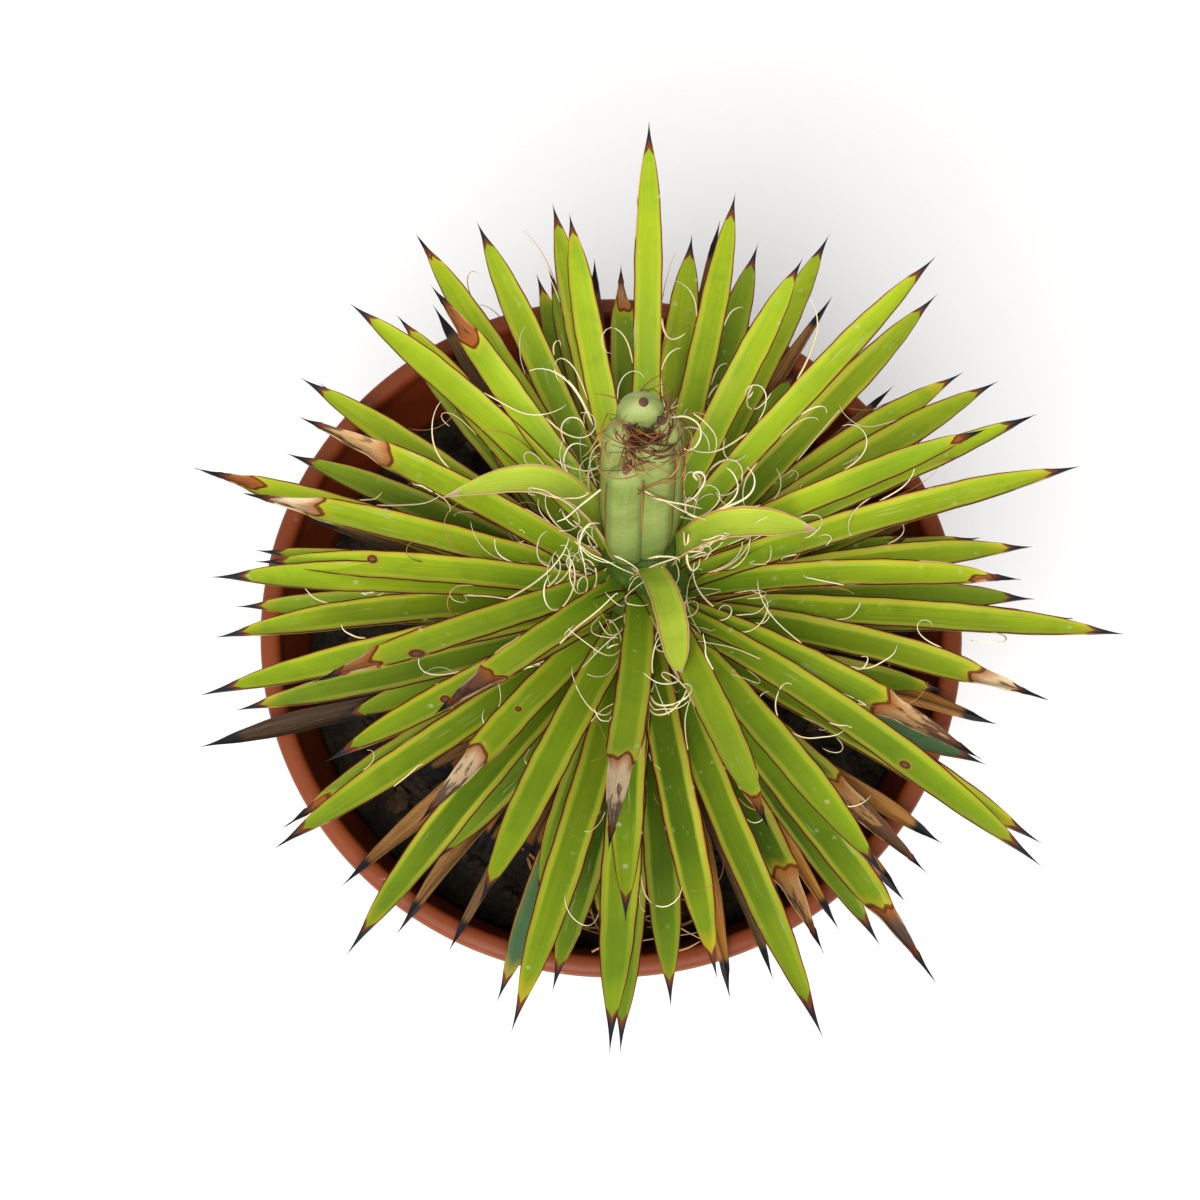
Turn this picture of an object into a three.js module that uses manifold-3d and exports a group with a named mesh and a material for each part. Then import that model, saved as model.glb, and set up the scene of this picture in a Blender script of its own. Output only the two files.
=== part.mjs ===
// A thread-leaf agave in a round terracotta pot. Millimetres, +Z up, origin at the middle of the pot's
// underside. The plant leans back, towards +Y; the front of the object faces -Y.
//
// The leaves stand on a short stem in rings. Each ring has its rise above the plant's own level and the
// height at which its leaves leave the stem; each leaf has its heading round the stem and its length.
import * as THREE from "three";
import { mergeVertices } from "three/addons/utils/BufferGeometryUtils.js";
import Module from "manifold-3d";

const wasm = await Module();
wasm.setup();

// ---- Driving dimensions ----

// Pot
const POT_HEIGHT = 105;
const RIM_RADIUS = 60;
const BASE_RADIUS = 42;
const FLOOR_THICKNESS = 3;
const WALL = 2.6;
const COLLAR_DEPTH = 17;
const COLLAR_STEP = 2.2;
const LIP_WIDTH = 3.5;
const LIP_HEIGHT = 3;
const LIP_OVERHANG = 1;
const LIP_STEPS = 6;
const EDGE_ROUND = 1.5;
const DRAIN_HOLES = 6;
const DRAIN_RADIUS = 4;
const DRAIN_CIRCLE = 27;
const POT_SIDES = 56;

// Soil
const SOIL_LEVEL = 88;
const SOIL_LUMP = 1.1;
const SOIL_RINGS = [49, 41, 32, 22, 13];
const SOIL_SIDES = 40;

// Gap between pieces that touch
const GAP = 0.3;

// Stem
const STEM_FOOT = new THREE.Vector3(5, -5.6, SOIL_LEVEL);
const STEM_LEAN = 15;
const STEM_RADIUS = 8;
const STEM_DEPTH = 16;
const STEM_SIDES = 18;
const CROWN = 43;
const CROWN_RADIUS = 5.4;

// Leaves: shares are of a leaf's length, or of its width or thickness where named so
const LEAF_THICKNESS = 2;
const LEAF_ROOT = 4.5;
const ROOT_WIDTH_SHARE = 0.85;
const WIDEST_AT = 0.35;
const TAPER_START = 0.5;
const TAPER_POWER = 3.6;
const SPINE_START = 0.93;
const SPINE_WIDTH = 1.3;
const SPINE_THICKNESS = 0.8;
const THINNING = 0.5;
const CHANNEL = 0.1;
const BLADE_ABOVE = 0.35;
const CLEAR_INSIDE = 6;
const CLEAR_OUTSIDE = 0.5;
const FRESH_STATIONS = [0, 0.22, 0.5, 0.7, 0.81, 0.88, SPINE_START];
const DRY_STATIONS = [0, 0.4, 0.7, 0.88];

// How much the leaves of a ring differ: width and bow as shares, sway in mm, roll in degrees
const WIDTH_SPREAD = 0.12;
const BOW_SPREAD = 0.8;
const SWAY_SPREAD = 2.4;
const ROLL_SPREAD = 12;

// Bud: its leaves lean together at their foot and are full at a share of their height
const BUD_HEIGHT = 34.4;
const BUD_SIDES = 12;
const BUD_FOOT_SHARE = 0.8;
const BUD_FULL_AT = 0.3;

// ---- Leaf rings, from the heart outwards; leaves are [heading, length] ----

const CURLED = {
  seed: 10, rise: 22, exit: 41.5, bow: 10.5, clear: 9, width: 5.2,
  leaves: [[175, 34.5], [-4, 29.5]],
};
const YOUNG = { seed: 15, rise: 18, exit: 43.5, bow: 2, clear: 9, width: 4.8, leaves: [[-81, 31.5]] };
const HEART = {
  seed: 20, rise: 28.5, exit: 38, bow: 1.5, clear: 9, width: 5,
  leaves: [
    [-141, 67.5], [-127, 56.5], [-96, 72], [-76, 70], [9, 59.5], [40, 68.5], [59, 57.5], [89, 75],
    [103, 60.5], [132, 57.5], [146, 63.5],
  ],
};
const MIDDLE = {
  seed: 100, rise: 20, exit: 30, bow: 2, clear: 9, width: 5.3,
  leaves: [
    [-173, 64], [-170, 71], [-153, 77], [-138, 66], [-122, 64], [-110, 73], [-93, 71], [-62, 73],
    [-49, 85], [-41, 67], [-10, 62], [7, 73], [17, 70], [76, 73], [115, 71], [124, 73], [160, 63],
    [176, 67],
  ],
};
const OUTER = {
  seed: 200, rise: 10, exit: 25, bow: 2, clear: 8.4, width: 5.7,
  leaves: [
    [-169, 70], [-138, 75], [-123, 80], [-104, 81], [-94, 82], [-82, 71], [-73, 83], [-60, 82],
    [-40, 77], [-21, 68], [-10, 78], [4, 65], [31, 73], [35, 69], [46, 76], [63, 75], [82, 68],
    [102, 75], [130, 67], [147, 71], [166, 78],
  ],
};
const OLD = {
  seed: 300, rise: 2, exit: 20, bow: 1.5, clear: 5.9, width: 5.7,
  leaves: [
    [-164, 69], [-145, 69], [-102, 68], [-93, 76], [-87, 69], [-66, 66], [-59, 69], [-2, 72],
    [1, 66], [73, 71], [93, 64], [104, 65], [155, 67], [171, 66], [180, 68],
  ],
};
const OLDEST = {
  seed: 330, rise: -6, exit: 15, bow: 1, clear: 3.4, width: 5.5,
  leaves: [[-110, 68], [-43, 63], [-23, 62], [16, 60], [25, 61], [105, 67], [127, 69]],
};
const DRY_LONG = {
  seed: 450, rise: -12, exit: 9, bow: 0.6, clear: 1.4, width: 4.9, thickness: 1.1,
  stations: DRY_STATIONS,
  leaves: [
    [-167, 77], [-152, 62], [-140, 66], [-129, 65], [-121, 63], [-108, 60], [-96, 62], [-86, 58],
    [-77, 63], [-70, 63], [-57, 60], [-46, 63], [-35, 62], [-13, 62], [28, 60], [48, 64], [63, 71],
    [80, 78], [96, 70], [119, 71], [138, 73], [157, 62],
  ],
};

// Leaves that the upper ones hide, and short dead ones on the soil, placed by the golden angle. The
// ranges are [least, most]: roots along the stem, reach outwards, tips above the soil.
const GOLDEN_ANGLE = 137.508;
const HIDDEN = { seed: 350, lengthSeed: 400, count: 22, first: 20, length: [48.9, 55.1] };
const DRY_SHORT = {
  seed: 500, count: 18, root: [5, 9], reach: [32.3, 41.8], tip: [4, 11], bow: 1.5, sway: 4, roll: 40,
};

// ---- Small tools ----

const rad = THREE.MathUtils.degToRad;
const UP = new THREE.Vector3(0, 0, 1);

// A repeatable draw between 0 and 1 from a whole number.
function draw(seed) {
  const value = Math.sin(seed * 12.9898) * 43758.5453;
  return value - Math.floor(value);
}

// A draw from a range, and one from an even spread of this size about zero.
const between = ([least, most], seed) => least + (most - least) * draw(seed);
const spread = (size, seed) => size * (draw(seed) - 0.5);

function solidOf(geometry) {
  const bare = geometry.clone();
  bare.deleteAttribute("normal");
  bare.deleteAttribute("uv");
  const merged = mergeVertices(bare, 1e-4);
  return new wasm.Manifold(
    new wasm.Mesh({
      numProp: 3,
      vertProperties: new Float32Array(merged.attributes.position.array),
      triVerts: new Uint32Array(merged.index.array),
    }),
  );
}

function geometryOf(solid) {
  const mesh = solid.getMesh();
  const geometry = new THREE.BufferGeometry();
  geometry.setAttribute("position", new THREE.BufferAttribute(mesh.vertProperties, 3));
  geometry.setIndex(new THREE.BufferAttribute(mesh.triVerts, 1));
  geometry.computeVertexNormals();
  return geometry;
}

// The largest of a solid's separate bodies.
function largestBody(solid) {
  return solid.decompose().sort((a, b) => b.volume() - a.volume())[0];
}

function union(solids) {
  return solids.reduce((whole, next) => whole.add(next));
}

function meshOf(name, solid, color, roughness) {
  const material = new THREE.MeshStandardMaterial({ color, roughness, metalness: 0 });
  const mesh = new THREE.Mesh(geometryOf(solid), material);
  mesh.name = name;
  return mesh;
}

// ---- The plant's own frame: its origin at the stem's foot, its +Z along the stem ----

const stemAxis = new THREE.Vector3(0, Math.tan(rad(STEM_LEAN)), 1).normalize();
const lean = new THREE.Quaternion().setFromUnitVectors(UP, stemAxis);
const upright = lean.clone().invert();

const plant = new THREE.Group();
plant.position.copy(STEM_FOOT);
plant.quaternion.copy(lean);

const toWorld = (point) => point.clone().applyQuaternion(lean).add(STEM_FOOT);
const toPlant = (point) => point.clone().sub(STEM_FOOT).applyQuaternion(upright);

// Distance along a level-turned direction from a point to a circle of this radius round the pot's axis.
function runTo(radius, point, direction) {
  const a = direction.x ** 2 + direction.y ** 2;
  const b = point.x * direction.x + point.y * direction.y;
  const c = point.x ** 2 + point.y ** 2 - radius ** 2;
  return (-b + Math.sqrt(b * b - a * c)) / a;
}

// Lifts a direction until its line passes at this height over a band along the pot's lip.
function clearOfLip(point, direction, height) {
  let lifted = direction.clone();
  for (const radius of [RIM_RADIUS - CLEAR_INSIDE, RIM_RADIUS + CLEAR_OUTSIDE]) {
    const over = point.clone().addScaledVector(lifted, runTo(radius, point, lifted));
    if (over.z < POT_HEIGHT + height) {
      over.z = POT_HEIGHT + height;
      lifted = over.sub(point).normalize();
    }
  }
  return lifted;
}

// ---- Leaves ----

// Half the blade's width at a share u of its length, short of the spine: it swells from the root by a
// quarter sine, keeps its width past the middle, and then narrows to the spine's by a power of the share.
function halfWidth(u, width) {
  const swell = Math.sin((Math.PI / 2) * Math.min(u / WIDEST_AT, 1));
  const full = width * (ROOT_WIDTH_SHARE + (1 - ROOT_WIDTH_SHARE) * swell);
  const narrowing = Math.max((u - TAPER_START) / (SPINE_START - TAPER_START), 0) ** TAPER_POWER;
  return 0.5 * (full + (SPINE_WIDTH - full) * narrowing);
}

// A blade from root to tip: at each station a section of four points, its two edges, the bottom of its
// channel and its keel, carried along a line that bows upwards by a half sine and sways to one side.
function bladeGeometry({ root, direction, length, width, thickness, stations, bow, sway, roll, grow }) {
  const axisUp = UP.clone().addScaledVector(direction, -direction.z).normalize();
  const up = axisUp.applyAxisAngle(direction, roll);
  const side = new THREE.Vector3().crossVectors(direction, up);
  const points = [];
  const put = (centre, across, above) =>
    points.push(centre.clone().addScaledVector(side, across).addScaledVector(up, above));
  for (const u of stations) {
    const arch = Math.sin(Math.PI * u);
    const centre = root.clone().addScaledVector(direction, u * length);
    centre.addScaledVector(up, bow * arch).addScaledVector(side, sway * arch);
    const half = halfWidth(u, width);
    const deep = Math.max(thickness * (1 - THINNING * u), SPINE_THICKNESS);
    const channel = CHANNEL * 2 * half;
    put(centre, -half - grow, BLADE_ABOVE * deep + channel / 2);
    put(centre, 0, BLADE_ABOVE * deep - channel / 2 + grow);
    put(centre, half + grow, BLADE_ABOVE * deep + channel / 2);
    put(centre, 0, (BLADE_ABOVE - 1) * deep - channel / 2 - grow);
  }
  points.push(root.clone().addScaledVector(direction, length + grow));

  const index = [];
  const corners = 4;
  for (let row = 0; row < stations.length - 1; row++) {
    for (let i = 0; i < corners; i++) {
      const a = row * corners + i;
      const b = row * corners + ((i + 1) % corners);
      // Both faces are split from the keel or channel to the edges, so they stay alike.
      if (i % 2 === 0) index.push(a, b, b + corners, a, b + corners, a + corners);
      else index.push(a, b, a + corners, b, b + corners, a + corners);
    }
  }
  const last = (stations.length - 1) * corners;
  const tip = points.length - 1;
  for (let i = 0; i < corners; i++) index.push(last + i, last + ((i + 1) % corners), tip);
  index.push(0, 2, 1, 0, 3, 2);

  const geometry = new THREE.BufferGeometry().setFromPoints(points);
  geometry.setIndex(index);
  return geometry;
}

// A leaf's root point and its length from there: the leaf starts inside the stem.
function rooted(axisPoint, direction, length) {
  const start = LEAF_ROOT / Math.hypot(direction.x, direction.y);
  return { root: axisPoint.addScaledVector(direction, start), direction, length: length - start };
}

// One leaf of a ring, in the plant's frame, swollen all round by grow.
function ringLeaf(ring, heading, length, seed, grow) {
  const h = rad(heading);
  const rise = rad(ring.rise);
  const axisPoint = new THREE.Vector3(0, 0, ring.exit - STEM_RADIUS * Math.tan(rise));
  const direct = new THREE.Vector3(
    Math.cos(rise) * Math.cos(h), Math.cos(rise) * Math.sin(h), Math.sin(rise),
  );
  const lifted = clearOfLip(toWorld(axisPoint), direct.applyQuaternion(lean), ring.clear);
  return solidOf(bladeGeometry({
    ...rooted(axisPoint, lifted.applyQuaternion(upright), length),
    width: ring.width * (1 + spread(WIDTH_SPREAD, seed)),
    thickness: ring.thickness ?? LEAF_THICKNESS,
    stations: ring.stations ?? FRESH_STATIONS,
    bow: ring.bow * (1 + spread(BOW_SPREAD, seed + 0.3)),
    sway: spread(SWAY_SPREAD, seed + 0.6),
    roll: rad(spread(ROLL_SPREAD, seed + 0.8)),
    grow,
  }));
}

function ringLeaves(ring, grow) {
  return ring.leaves.map(([heading, length], i) => ringLeaf(ring, heading, length, ring.seed + i, grow));
}

// Short dead leaves that slope down to the soil inside the pot.
function shortDryLeaves(grow) {
  return Array.from({ length: DRY_SHORT.count }, (_, k) => {
    const seed = DRY_SHORT.seed + k;
    const h = rad(k * GOLDEN_ANGLE);
    const axisPoint = new THREE.Vector3(0, 0, between(DRY_SHORT.root, seed));
    const reach = between(DRY_SHORT.reach, seed + 20);
    const tip = toWorld(axisPoint).add(new THREE.Vector3(reach * Math.cos(h), reach * Math.sin(h), 0));
    tip.z = SOIL_LEVEL + between(DRY_SHORT.tip, seed + 40);
    const along = toPlant(tip).sub(axisPoint);
    return solidOf(bladeGeometry({
      ...rooted(axisPoint, along.clone().normalize(), along.length()),
      width: DRY_LONG.width,
      thickness: DRY_LONG.thickness,
      stations: DRY_STATIONS,
      bow: DRY_SHORT.bow * draw(seed + 60),
      sway: spread(DRY_SHORT.sway, seed + 80),
      roll: rad(spread(DRY_SHORT.roll, seed + 100)),
      grow,
    }));
  });
}

const hiddenRing = {
  ...OLDEST,
  seed: HIDDEN.seed,
  leaves: Array.from({ length: HIDDEN.count }, (_, k) => [
    HIDDEN.first + k * GOLDEN_ANGLE, between(HIDDEN.length, HIDDEN.lengthSeed + k),
  ]),
};

// A length of the stem between two heights, which may narrow to its top.
function stemPiece([bottom, top], grow, topRadius = STEM_RADIUS) {
  const piece = new THREE.CylinderGeometry(
    topRadius + grow, STEM_RADIUS + grow, top - bottom + 2 * grow, STEM_SIDES,
  );
  piece.rotateX(Math.PI / 2).translate(0, 0, (top + bottom) / 2);
  return solidOf(piece);
}

// ---- Bud: blunt young leaves pressed together round the stem's axis ----

// Each is [across, back, height, half width, half thickness].
const YOUNG_LEAVES = [
  [-0.6, 0, 27.5, 3.9, 3.6],
  [-3.2, -3.5, 24.8, 2.8, 2.2],
  [1, -2.3, 29.2, 3, 2.3],
  [-4.4, 0.4, 30.2, 2.4, 2.7],
  [3.3, 0.7, 31.2, 2.2, 2.6],
  [-1.4, 2.6, BUD_HEIGHT, 3.2, 2.5],
];

function youngLeaf([across, back, height, half, thick]) {
  const profile = [
    [0, 0], [1, 0], [1, BUD_FULL_AT * height], [0.97, height - 3.4], [0.86, height - 1.6],
    [0.55, height - 0.5], [0, height],
  ].map(([r, z]) => new THREE.Vector2(r, z));
  const geometry = new THREE.LatheGeometry(profile, BUD_SIDES);
  geometry.rotateX(Math.PI / 2).scale(half, thick, 1).translate(across, back, 0);
  const place = geometry.attributes.position;
  for (let i = 0; i < place.count; i++) {
    const share = place.getZ(i) < GAP ? BUD_FOOT_SHARE : 1;
    place.setXY(i, place.getX(i) * share, place.getY(i) * share);
  }
  return solidOf(geometry.translate(0, 0, CROWN + GAP));
}

// ---- Pot and soil ----

const innerRadius = (z) =>
  THREE.MathUtils.mapLinear(
    z, FLOOR_THICKNESS, POT_HEIGHT - LIP_HEIGHT, BASE_RADIUS - WALL, RIM_RADIUS - LIP_WIDTH,
  );

function potSolid() {
  const collarFoot = POT_HEIGHT - COLLAR_DEPTH;
  const bodyTop = innerRadius(collarFoot) + WALL;
  // The lip is a half-round bead.
  const bead = LIP_WIDTH / 2;
  const lip = Array.from({ length: LIP_STEPS + 1 }, (_, i) => {
    const turn = (Math.PI * i) / LIP_STEPS;
    return [RIM_RADIUS - bead + bead * Math.cos(turn), POT_HEIGHT - bead + bead * Math.sin(turn)];
  });
  const profile = [
    [0, 0],
    [BASE_RADIUS - EDGE_ROUND, 0],
    [BASE_RADIUS, EDGE_ROUND],
    [bodyTop, collarFoot],
    [bodyTop + COLLAR_STEP, collarFoot + EDGE_ROUND],
    [RIM_RADIUS - LIP_OVERHANG, POT_HEIGHT - LIP_HEIGHT],
    ...lip,
    [innerRadius(POT_HEIGHT - LIP_HEIGHT), POT_HEIGHT - LIP_HEIGHT],
    [innerRadius(FLOOR_THICKNESS + EDGE_ROUND), FLOOR_THICKNESS + EDGE_ROUND],
    [innerRadius(FLOOR_THICKNESS) - EDGE_ROUND, FLOOR_THICKNESS],
    [0, FLOOR_THICKNESS],
  ].map(([r, z]) => new THREE.Vector2(r, z));
  const shell = solidOf(new THREE.LatheGeometry(profile, POT_SIDES).rotateX(Math.PI / 2));
  const holes = Array.from({ length: DRAIN_HOLES }, (_, i) => {
    const turn = (2 * Math.PI * i) / DRAIN_HOLES;
    const drill = new THREE.CylinderGeometry(DRAIN_RADIUS, DRAIN_RADIUS, 4 * FLOOR_THICKNESS, 16);
    drill.rotateX(Math.PI / 2).translate(DRAIN_CIRCLE * Math.cos(turn), DRAIN_CIRCLE * Math.sin(turn), 0);
    return solidOf(drill);
  });
  return shell.subtract(union(holes));
}

// How far the soil stands above its level here: low lumps, worked out from crossing waves.
function soilLump(x, y) {
  return SOIL_LUMP * (Math.sin(0.31 * x + 1.3) * Math.cos(0.27 * y) + 0.6 * Math.sin(0.53 * x - 0.61 * y));
}

function soilSolid() {
  const edge = innerRadius(SOIL_LEVEL) - GAP;
  const bottom = FLOOR_THICKNESS + GAP;
  const profile = [
    [0, bottom],
    [innerRadius(bottom) - EDGE_ROUND - GAP, bottom],
    [innerRadius(bottom + EDGE_ROUND) - GAP, bottom + EDGE_ROUND],
    [edge, SOIL_LEVEL],
    ...SOIL_RINGS.map((r) => [r, SOIL_LEVEL]),
    [0, SOIL_LEVEL],
  ].map(([r, z]) => new THREE.Vector2(r, z));
  const geometry = new THREE.LatheGeometry(profile, SOIL_SIDES).rotateX(Math.PI / 2);
  const place = geometry.attributes.position;
  for (let i = 0; i < place.count; i++) {
    const [x, y, z] = [place.getX(i), place.getY(i), place.getZ(i)];
    if (z > SOIL_LEVEL - 1 && Math.hypot(x, y) < edge - 1) place.setZ(i, z + soilLump(x, y));
  }
  const stemHole = new THREE.Mesh(geometryOf(stemPiece([-STEM_DEPTH, CROWN], GAP)));
  plant.updateMatrixWorld();
  stemHole.geometry.applyMatrix4(plant.matrixWorld);
  return solidOf(geometry).subtract(solidOf(stemHole.geometry));
}

// ---- The plant's pieces, from the crown down ----

// Each tier is its leaves and its own length of the stem, cut clear of every tier above it.
const TIERS = [
  { name: "inner_leaves", color: 0x7fa62a, stem: [32.3, CROWN], rings: [CURLED, YOUNG, HEART] },
  { name: "middle_leaves", color: 0x86ad2c, stem: [27.8, 32.0], rings: [MIDDLE] },
  { name: "outer_leaves", color: 0x7ba22c, stem: [22.7, 27.5], rings: [OUTER] },
  { name: "lower_leaves", color: 0x4f7a3a, stem: [12.5, 22.4], rings: [OLD, OLDEST, hiddenRing] },
  { name: "dry_leaves", color: 0x7a5a3c, stem: [-STEM_DEPTH + GAP, 12.2], rings: [DRY_LONG] },
];

function tierSolid({ name, stem, rings }, grow) {
  const stalk = stemPiece(stem, 0, name === "inner_leaves" ? CROWN_RADIUS : STEM_RADIUS);
  const leaves = rings.flatMap((ring) => ringLeaves(ring, grow));
  if (name === "dry_leaves") leaves.push(...shortDryLeaves(grow));
  return union([stalk, ...leaves]);
}

plant.add(meshOf("bud", union(YOUNG_LEAVES.map(youngLeaf)), 0xa3bd84, 0.55));

let above = null;
for (const tier of TIERS) {
  const whole = tierSolid(tier, 0);
  const cut = above ? largestBody(whole.subtract(above)) : whole;
  plant.add(meshOf(tier.name, cut, tier.color, 0.5));
  const swollen = tierSolid(tier, GAP);
  above = above ? above.add(swollen) : swollen;
}

const group = new THREE.Group();
group.add(meshOf("pot", potSolid(), 0xa5482f, 0.6));
group.add(meshOf("soil", soilSolid(), 0x3b2a20, 0.95));
group.add(plant);

export default group;
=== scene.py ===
"""A thread-leaf agave in a round terracotta pot: its looks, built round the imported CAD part.

Metres, +Z up, origin at the middle of the pot's underside; the plant leans back, towards +Y. The leaves
stand on the stem in rings, each with its rise above the plant's own level and the height at which its
leaves leave the stem; each leaf has its heading round the stem and its length, as in the part's source.
"""
import math
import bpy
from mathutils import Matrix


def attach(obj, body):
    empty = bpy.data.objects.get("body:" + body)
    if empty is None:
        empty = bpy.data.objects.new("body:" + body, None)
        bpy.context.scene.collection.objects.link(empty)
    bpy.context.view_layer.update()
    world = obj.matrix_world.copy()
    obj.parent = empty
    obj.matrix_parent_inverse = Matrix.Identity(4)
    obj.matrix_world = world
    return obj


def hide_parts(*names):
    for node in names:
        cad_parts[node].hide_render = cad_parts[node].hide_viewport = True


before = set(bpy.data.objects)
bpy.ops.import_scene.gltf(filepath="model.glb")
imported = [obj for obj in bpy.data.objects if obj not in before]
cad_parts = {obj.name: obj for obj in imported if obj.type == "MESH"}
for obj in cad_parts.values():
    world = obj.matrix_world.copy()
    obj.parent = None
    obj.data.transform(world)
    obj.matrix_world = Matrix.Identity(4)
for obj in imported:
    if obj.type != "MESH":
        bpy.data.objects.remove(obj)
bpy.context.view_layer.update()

from types import SimpleNamespace

import bpy
import numpy as np
from mathutils import Matrix, Vector

MM = 0.001

# ---- Driving dimensions, in millimetres, as the part's source has them ----

POT_HEIGHT = 105
RIM_RADIUS = 60
BASE_RADIUS = 42
FLOOR_THICKNESS = 3
WALL = 2.6
COLLAR_DEPTH = 17
COLLAR_STEP = 2.2
LIP_WIDTH = 3.5
LIP_HEIGHT = 3
LIP_OVERHANG = 1
DRAIN_HOLES = 6
DRAIN_RADIUS = 4
DRAIN_CIRCLE = 27
SOIL_LEVEL = 88
STEM_FOOT = np.array([5, -5.6, SOIL_LEVEL])
STEM_LEAN = 15
STEM_RADIUS = 8
STEM_DEPTH = 15
CROWN = 43
CROWN_RADIUS = 5.4
CROWN_FOOT = 32.3
LEAF_ROOT = 4.5
LEAF_THICKNESS = 2
ROOT_WIDTH_SHARE = 0.85
WIDEST_AT = 0.35
TAPER_START = 0.5
TAPER_POWER = 3.6
SPINE_START = 0.93
SPINE_WIDTH = 1.3
SPINE_THICKNESS = 0.8
SPINE_FINENESS = 1.7
THINNING = 0.5
CHANNEL = 0.1
BLADE_ABOVE = 0.35
CLEAR_INSIDE = 6
CLEAR_OUTSIDE = 0.5
WIDTH_SPREAD = 0.12
BOW_SPREAD = 0.8
SWAY_SPREAD = 2.4
ROLL_SPREAD = 12
BUD_HEIGHT = 34.4
BUD_FOOT_SHARE = 0.8
BUD_FULL_AT = 0.3
GAP = 0.3
GOLDEN_ANGLE = 137.508

# ---- Leaf rings, from the heart outwards; leaves are [heading, length] ----

RINGS = {
    "curled": dict(seed=10, rise=22, exit=41.5, bow=10.5, clear=9, width=5.2, leaves=[
        [175, 34.5], [-4, 29.5]]),
    "young": dict(seed=15, rise=18, exit=43.5, bow=2, clear=9, width=4.8, leaves=[[-81, 31.5]]),
    "heart": dict(seed=20, rise=28.5, exit=38, bow=1.5, clear=9, width=5, leaves=[
        [-141, 67.5], [-127, 56.5], [-96, 72], [-76, 70], [9, 59.5], [40, 68.5], [59, 57.5], [89, 75],
        [103, 60.5], [132, 57.5], [146, 63.5]]),
    "middle": dict(seed=100, rise=20, exit=30, bow=2, clear=9, width=5.3, leaves=[
        [-173, 64], [-170, 71], [-153, 77], [-138, 66], [-122, 64], [-110, 73], [-93, 71], [-62, 73],
        [-49, 85], [-41, 67], [-10, 62], [7, 73], [17, 70], [76, 73], [115, 71], [124, 73], [160, 63],
        [176, 67]]),
    "outer": dict(seed=200, rise=10, exit=25, bow=2, clear=8.4, width=5.7, leaves=[
        [-169, 70], [-138, 75], [-123, 80], [-104, 81], [-94, 82], [-82, 71], [-73, 83], [-60, 82],
        [-40, 77], [-21, 68], [-10, 78], [4, 65], [31, 73], [35, 69], [46, 76], [63, 75], [82, 68],
        [102, 75], [130, 67], [147, 71], [166, 78]]),
    "old": dict(seed=300, rise=2, exit=20, bow=1.5, clear=5.9, width=5.7, leaves=[
        [-164, 69], [-145, 69], [-102, 68], [-93, 76], [-87, 69], [-66, 66], [-59, 69], [-2, 72],
        [1, 66], [73, 71], [93, 64], [104, 65], [155, 67], [171, 66], [180, 68]]),
    "oldest": dict(seed=330, rise=-6, exit=15, bow=1, clear=3.4, width=5.5, leaves=[
        [-110, 68], [-43, 63], [-23, 62], [16, 60], [25, 61], [105, 67], [127, 69]]),
    "dry_long": dict(seed=450, rise=-12, exit=9, bow=0.6, clear=1.4, width=4.9, thickness=1.1, leaves=[
        [-167, 77], [-152, 62], [-140, 66], [-129, 65], [-121, 63], [-108, 60], [-96, 62], [-86, 58],
        [-77, 63], [-70, 63], [-57, 60], [-46, 63], [-35, 62], [-13, 62], [28, 60], [48, 64], [63, 71],
        [80, 78], [96, 70], [119, 71], [138, 73], [157, 62]]),
}

# Leaves placed by rule, from a first heading on, each a turn further. What has two numbers is drawn between
# them: a leaf's length, or its root's height on the axis, its reach, and its tip's height above the soil.
HIDDEN = dict(seed=350, length_seed=400, count=22, first=20, turn=GOLDEN_ANGLE, length=(48.9, 55.1))
DRY_SHORT = dict(
    seed=500, count=18, first=0, turn=GOLDEN_ANGLE, root=(5, 9), reach=(32.3, 41.8), tip=(4, 11), bow=1.5,
    sway=4, roll=40)
DRY_SCRAPS = dict(
    seed=560, count=26, first=-165, turn=2.6, root=(5, 10), reach=(40, 46), tip=(8, 13), bow=1, sway=5,
    roll=60)

# Dried ends: {ring: {heading: (share of the length where the end starts, tone)}}. A tone runs from
# 0, cream, over 0.5, tan and rust, to 1, nearly black. Soft young leaves have no such end, as it would
# start past the tip, and a tone of -1.
DRIED_ENDS = {
    "curled": {175: (2, -1), -4: (2, -1)},
    "young": {-81: (2, -1)},
    "heart": {-141: (0.81, 0.55), -127: (0.75, 0.85), -96: (0.70, 0.05), -76: (0.88, 0.6), 9: (0.90, 0.65),
              59: (0.93, 0.6), 132: (0.79, 0.7)},
    "middle": {176: (0.80, 0.1), 160: (0.735, 0.3), -41: (0.71, 0.3), -122: (0.72, 0.12), 124: (0.91, 0.3),
               -10: (0.87, 0.45), 17: (0.93, 0.6)},
    "outer": {-21: (0.78, 0.1), -60: (0.80, 0.95), 166: (0.85, 0.75), -138: (0.93, 0.7)},
    "old": {-2: (0.85, 0.4), -66: (0.76, 0.5), -145: (0.88, 0.8), 93: (0.84, 0.5)},
    "oldest": {-43: (0.62, 0.5), 25: (0.85, 0.5)},
}
# Round brown marks: {ring: {heading: (share of the length, place across, radius in mm)}}.
MARKS = {
    "middle": {-49: (0.69, 0.3, 1.0), -138: (0.65, -0.1, 0.9), -173: (0.70, 0.4, 0.9),
               -122: (0.55, 0.1, 0.6)},
    "heart": {-141: (0.73, -0.6, 1.4)},
}
# Tones of the long dead leaves by heading: 0 is orange-tan, 1 nearly black.
DRY_TONES = {
    -167: 1.0, -152: 0.75, -140: 0.3, -129: 0.4, -121: 0.55, -108: 0.45, -96: 0.1, -86: 0.4, -77: 0.1,
    -70: 0.8, -57: 0.1, -46: 0.0, -35: 0.2, -13: 0.15, 28: 0.3, 48: 0.4, 63: 0.3, 80: 0.45, 96: 0.6,
    119: 0.7, 138: 0.6, 157: 0.75,
}

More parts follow.
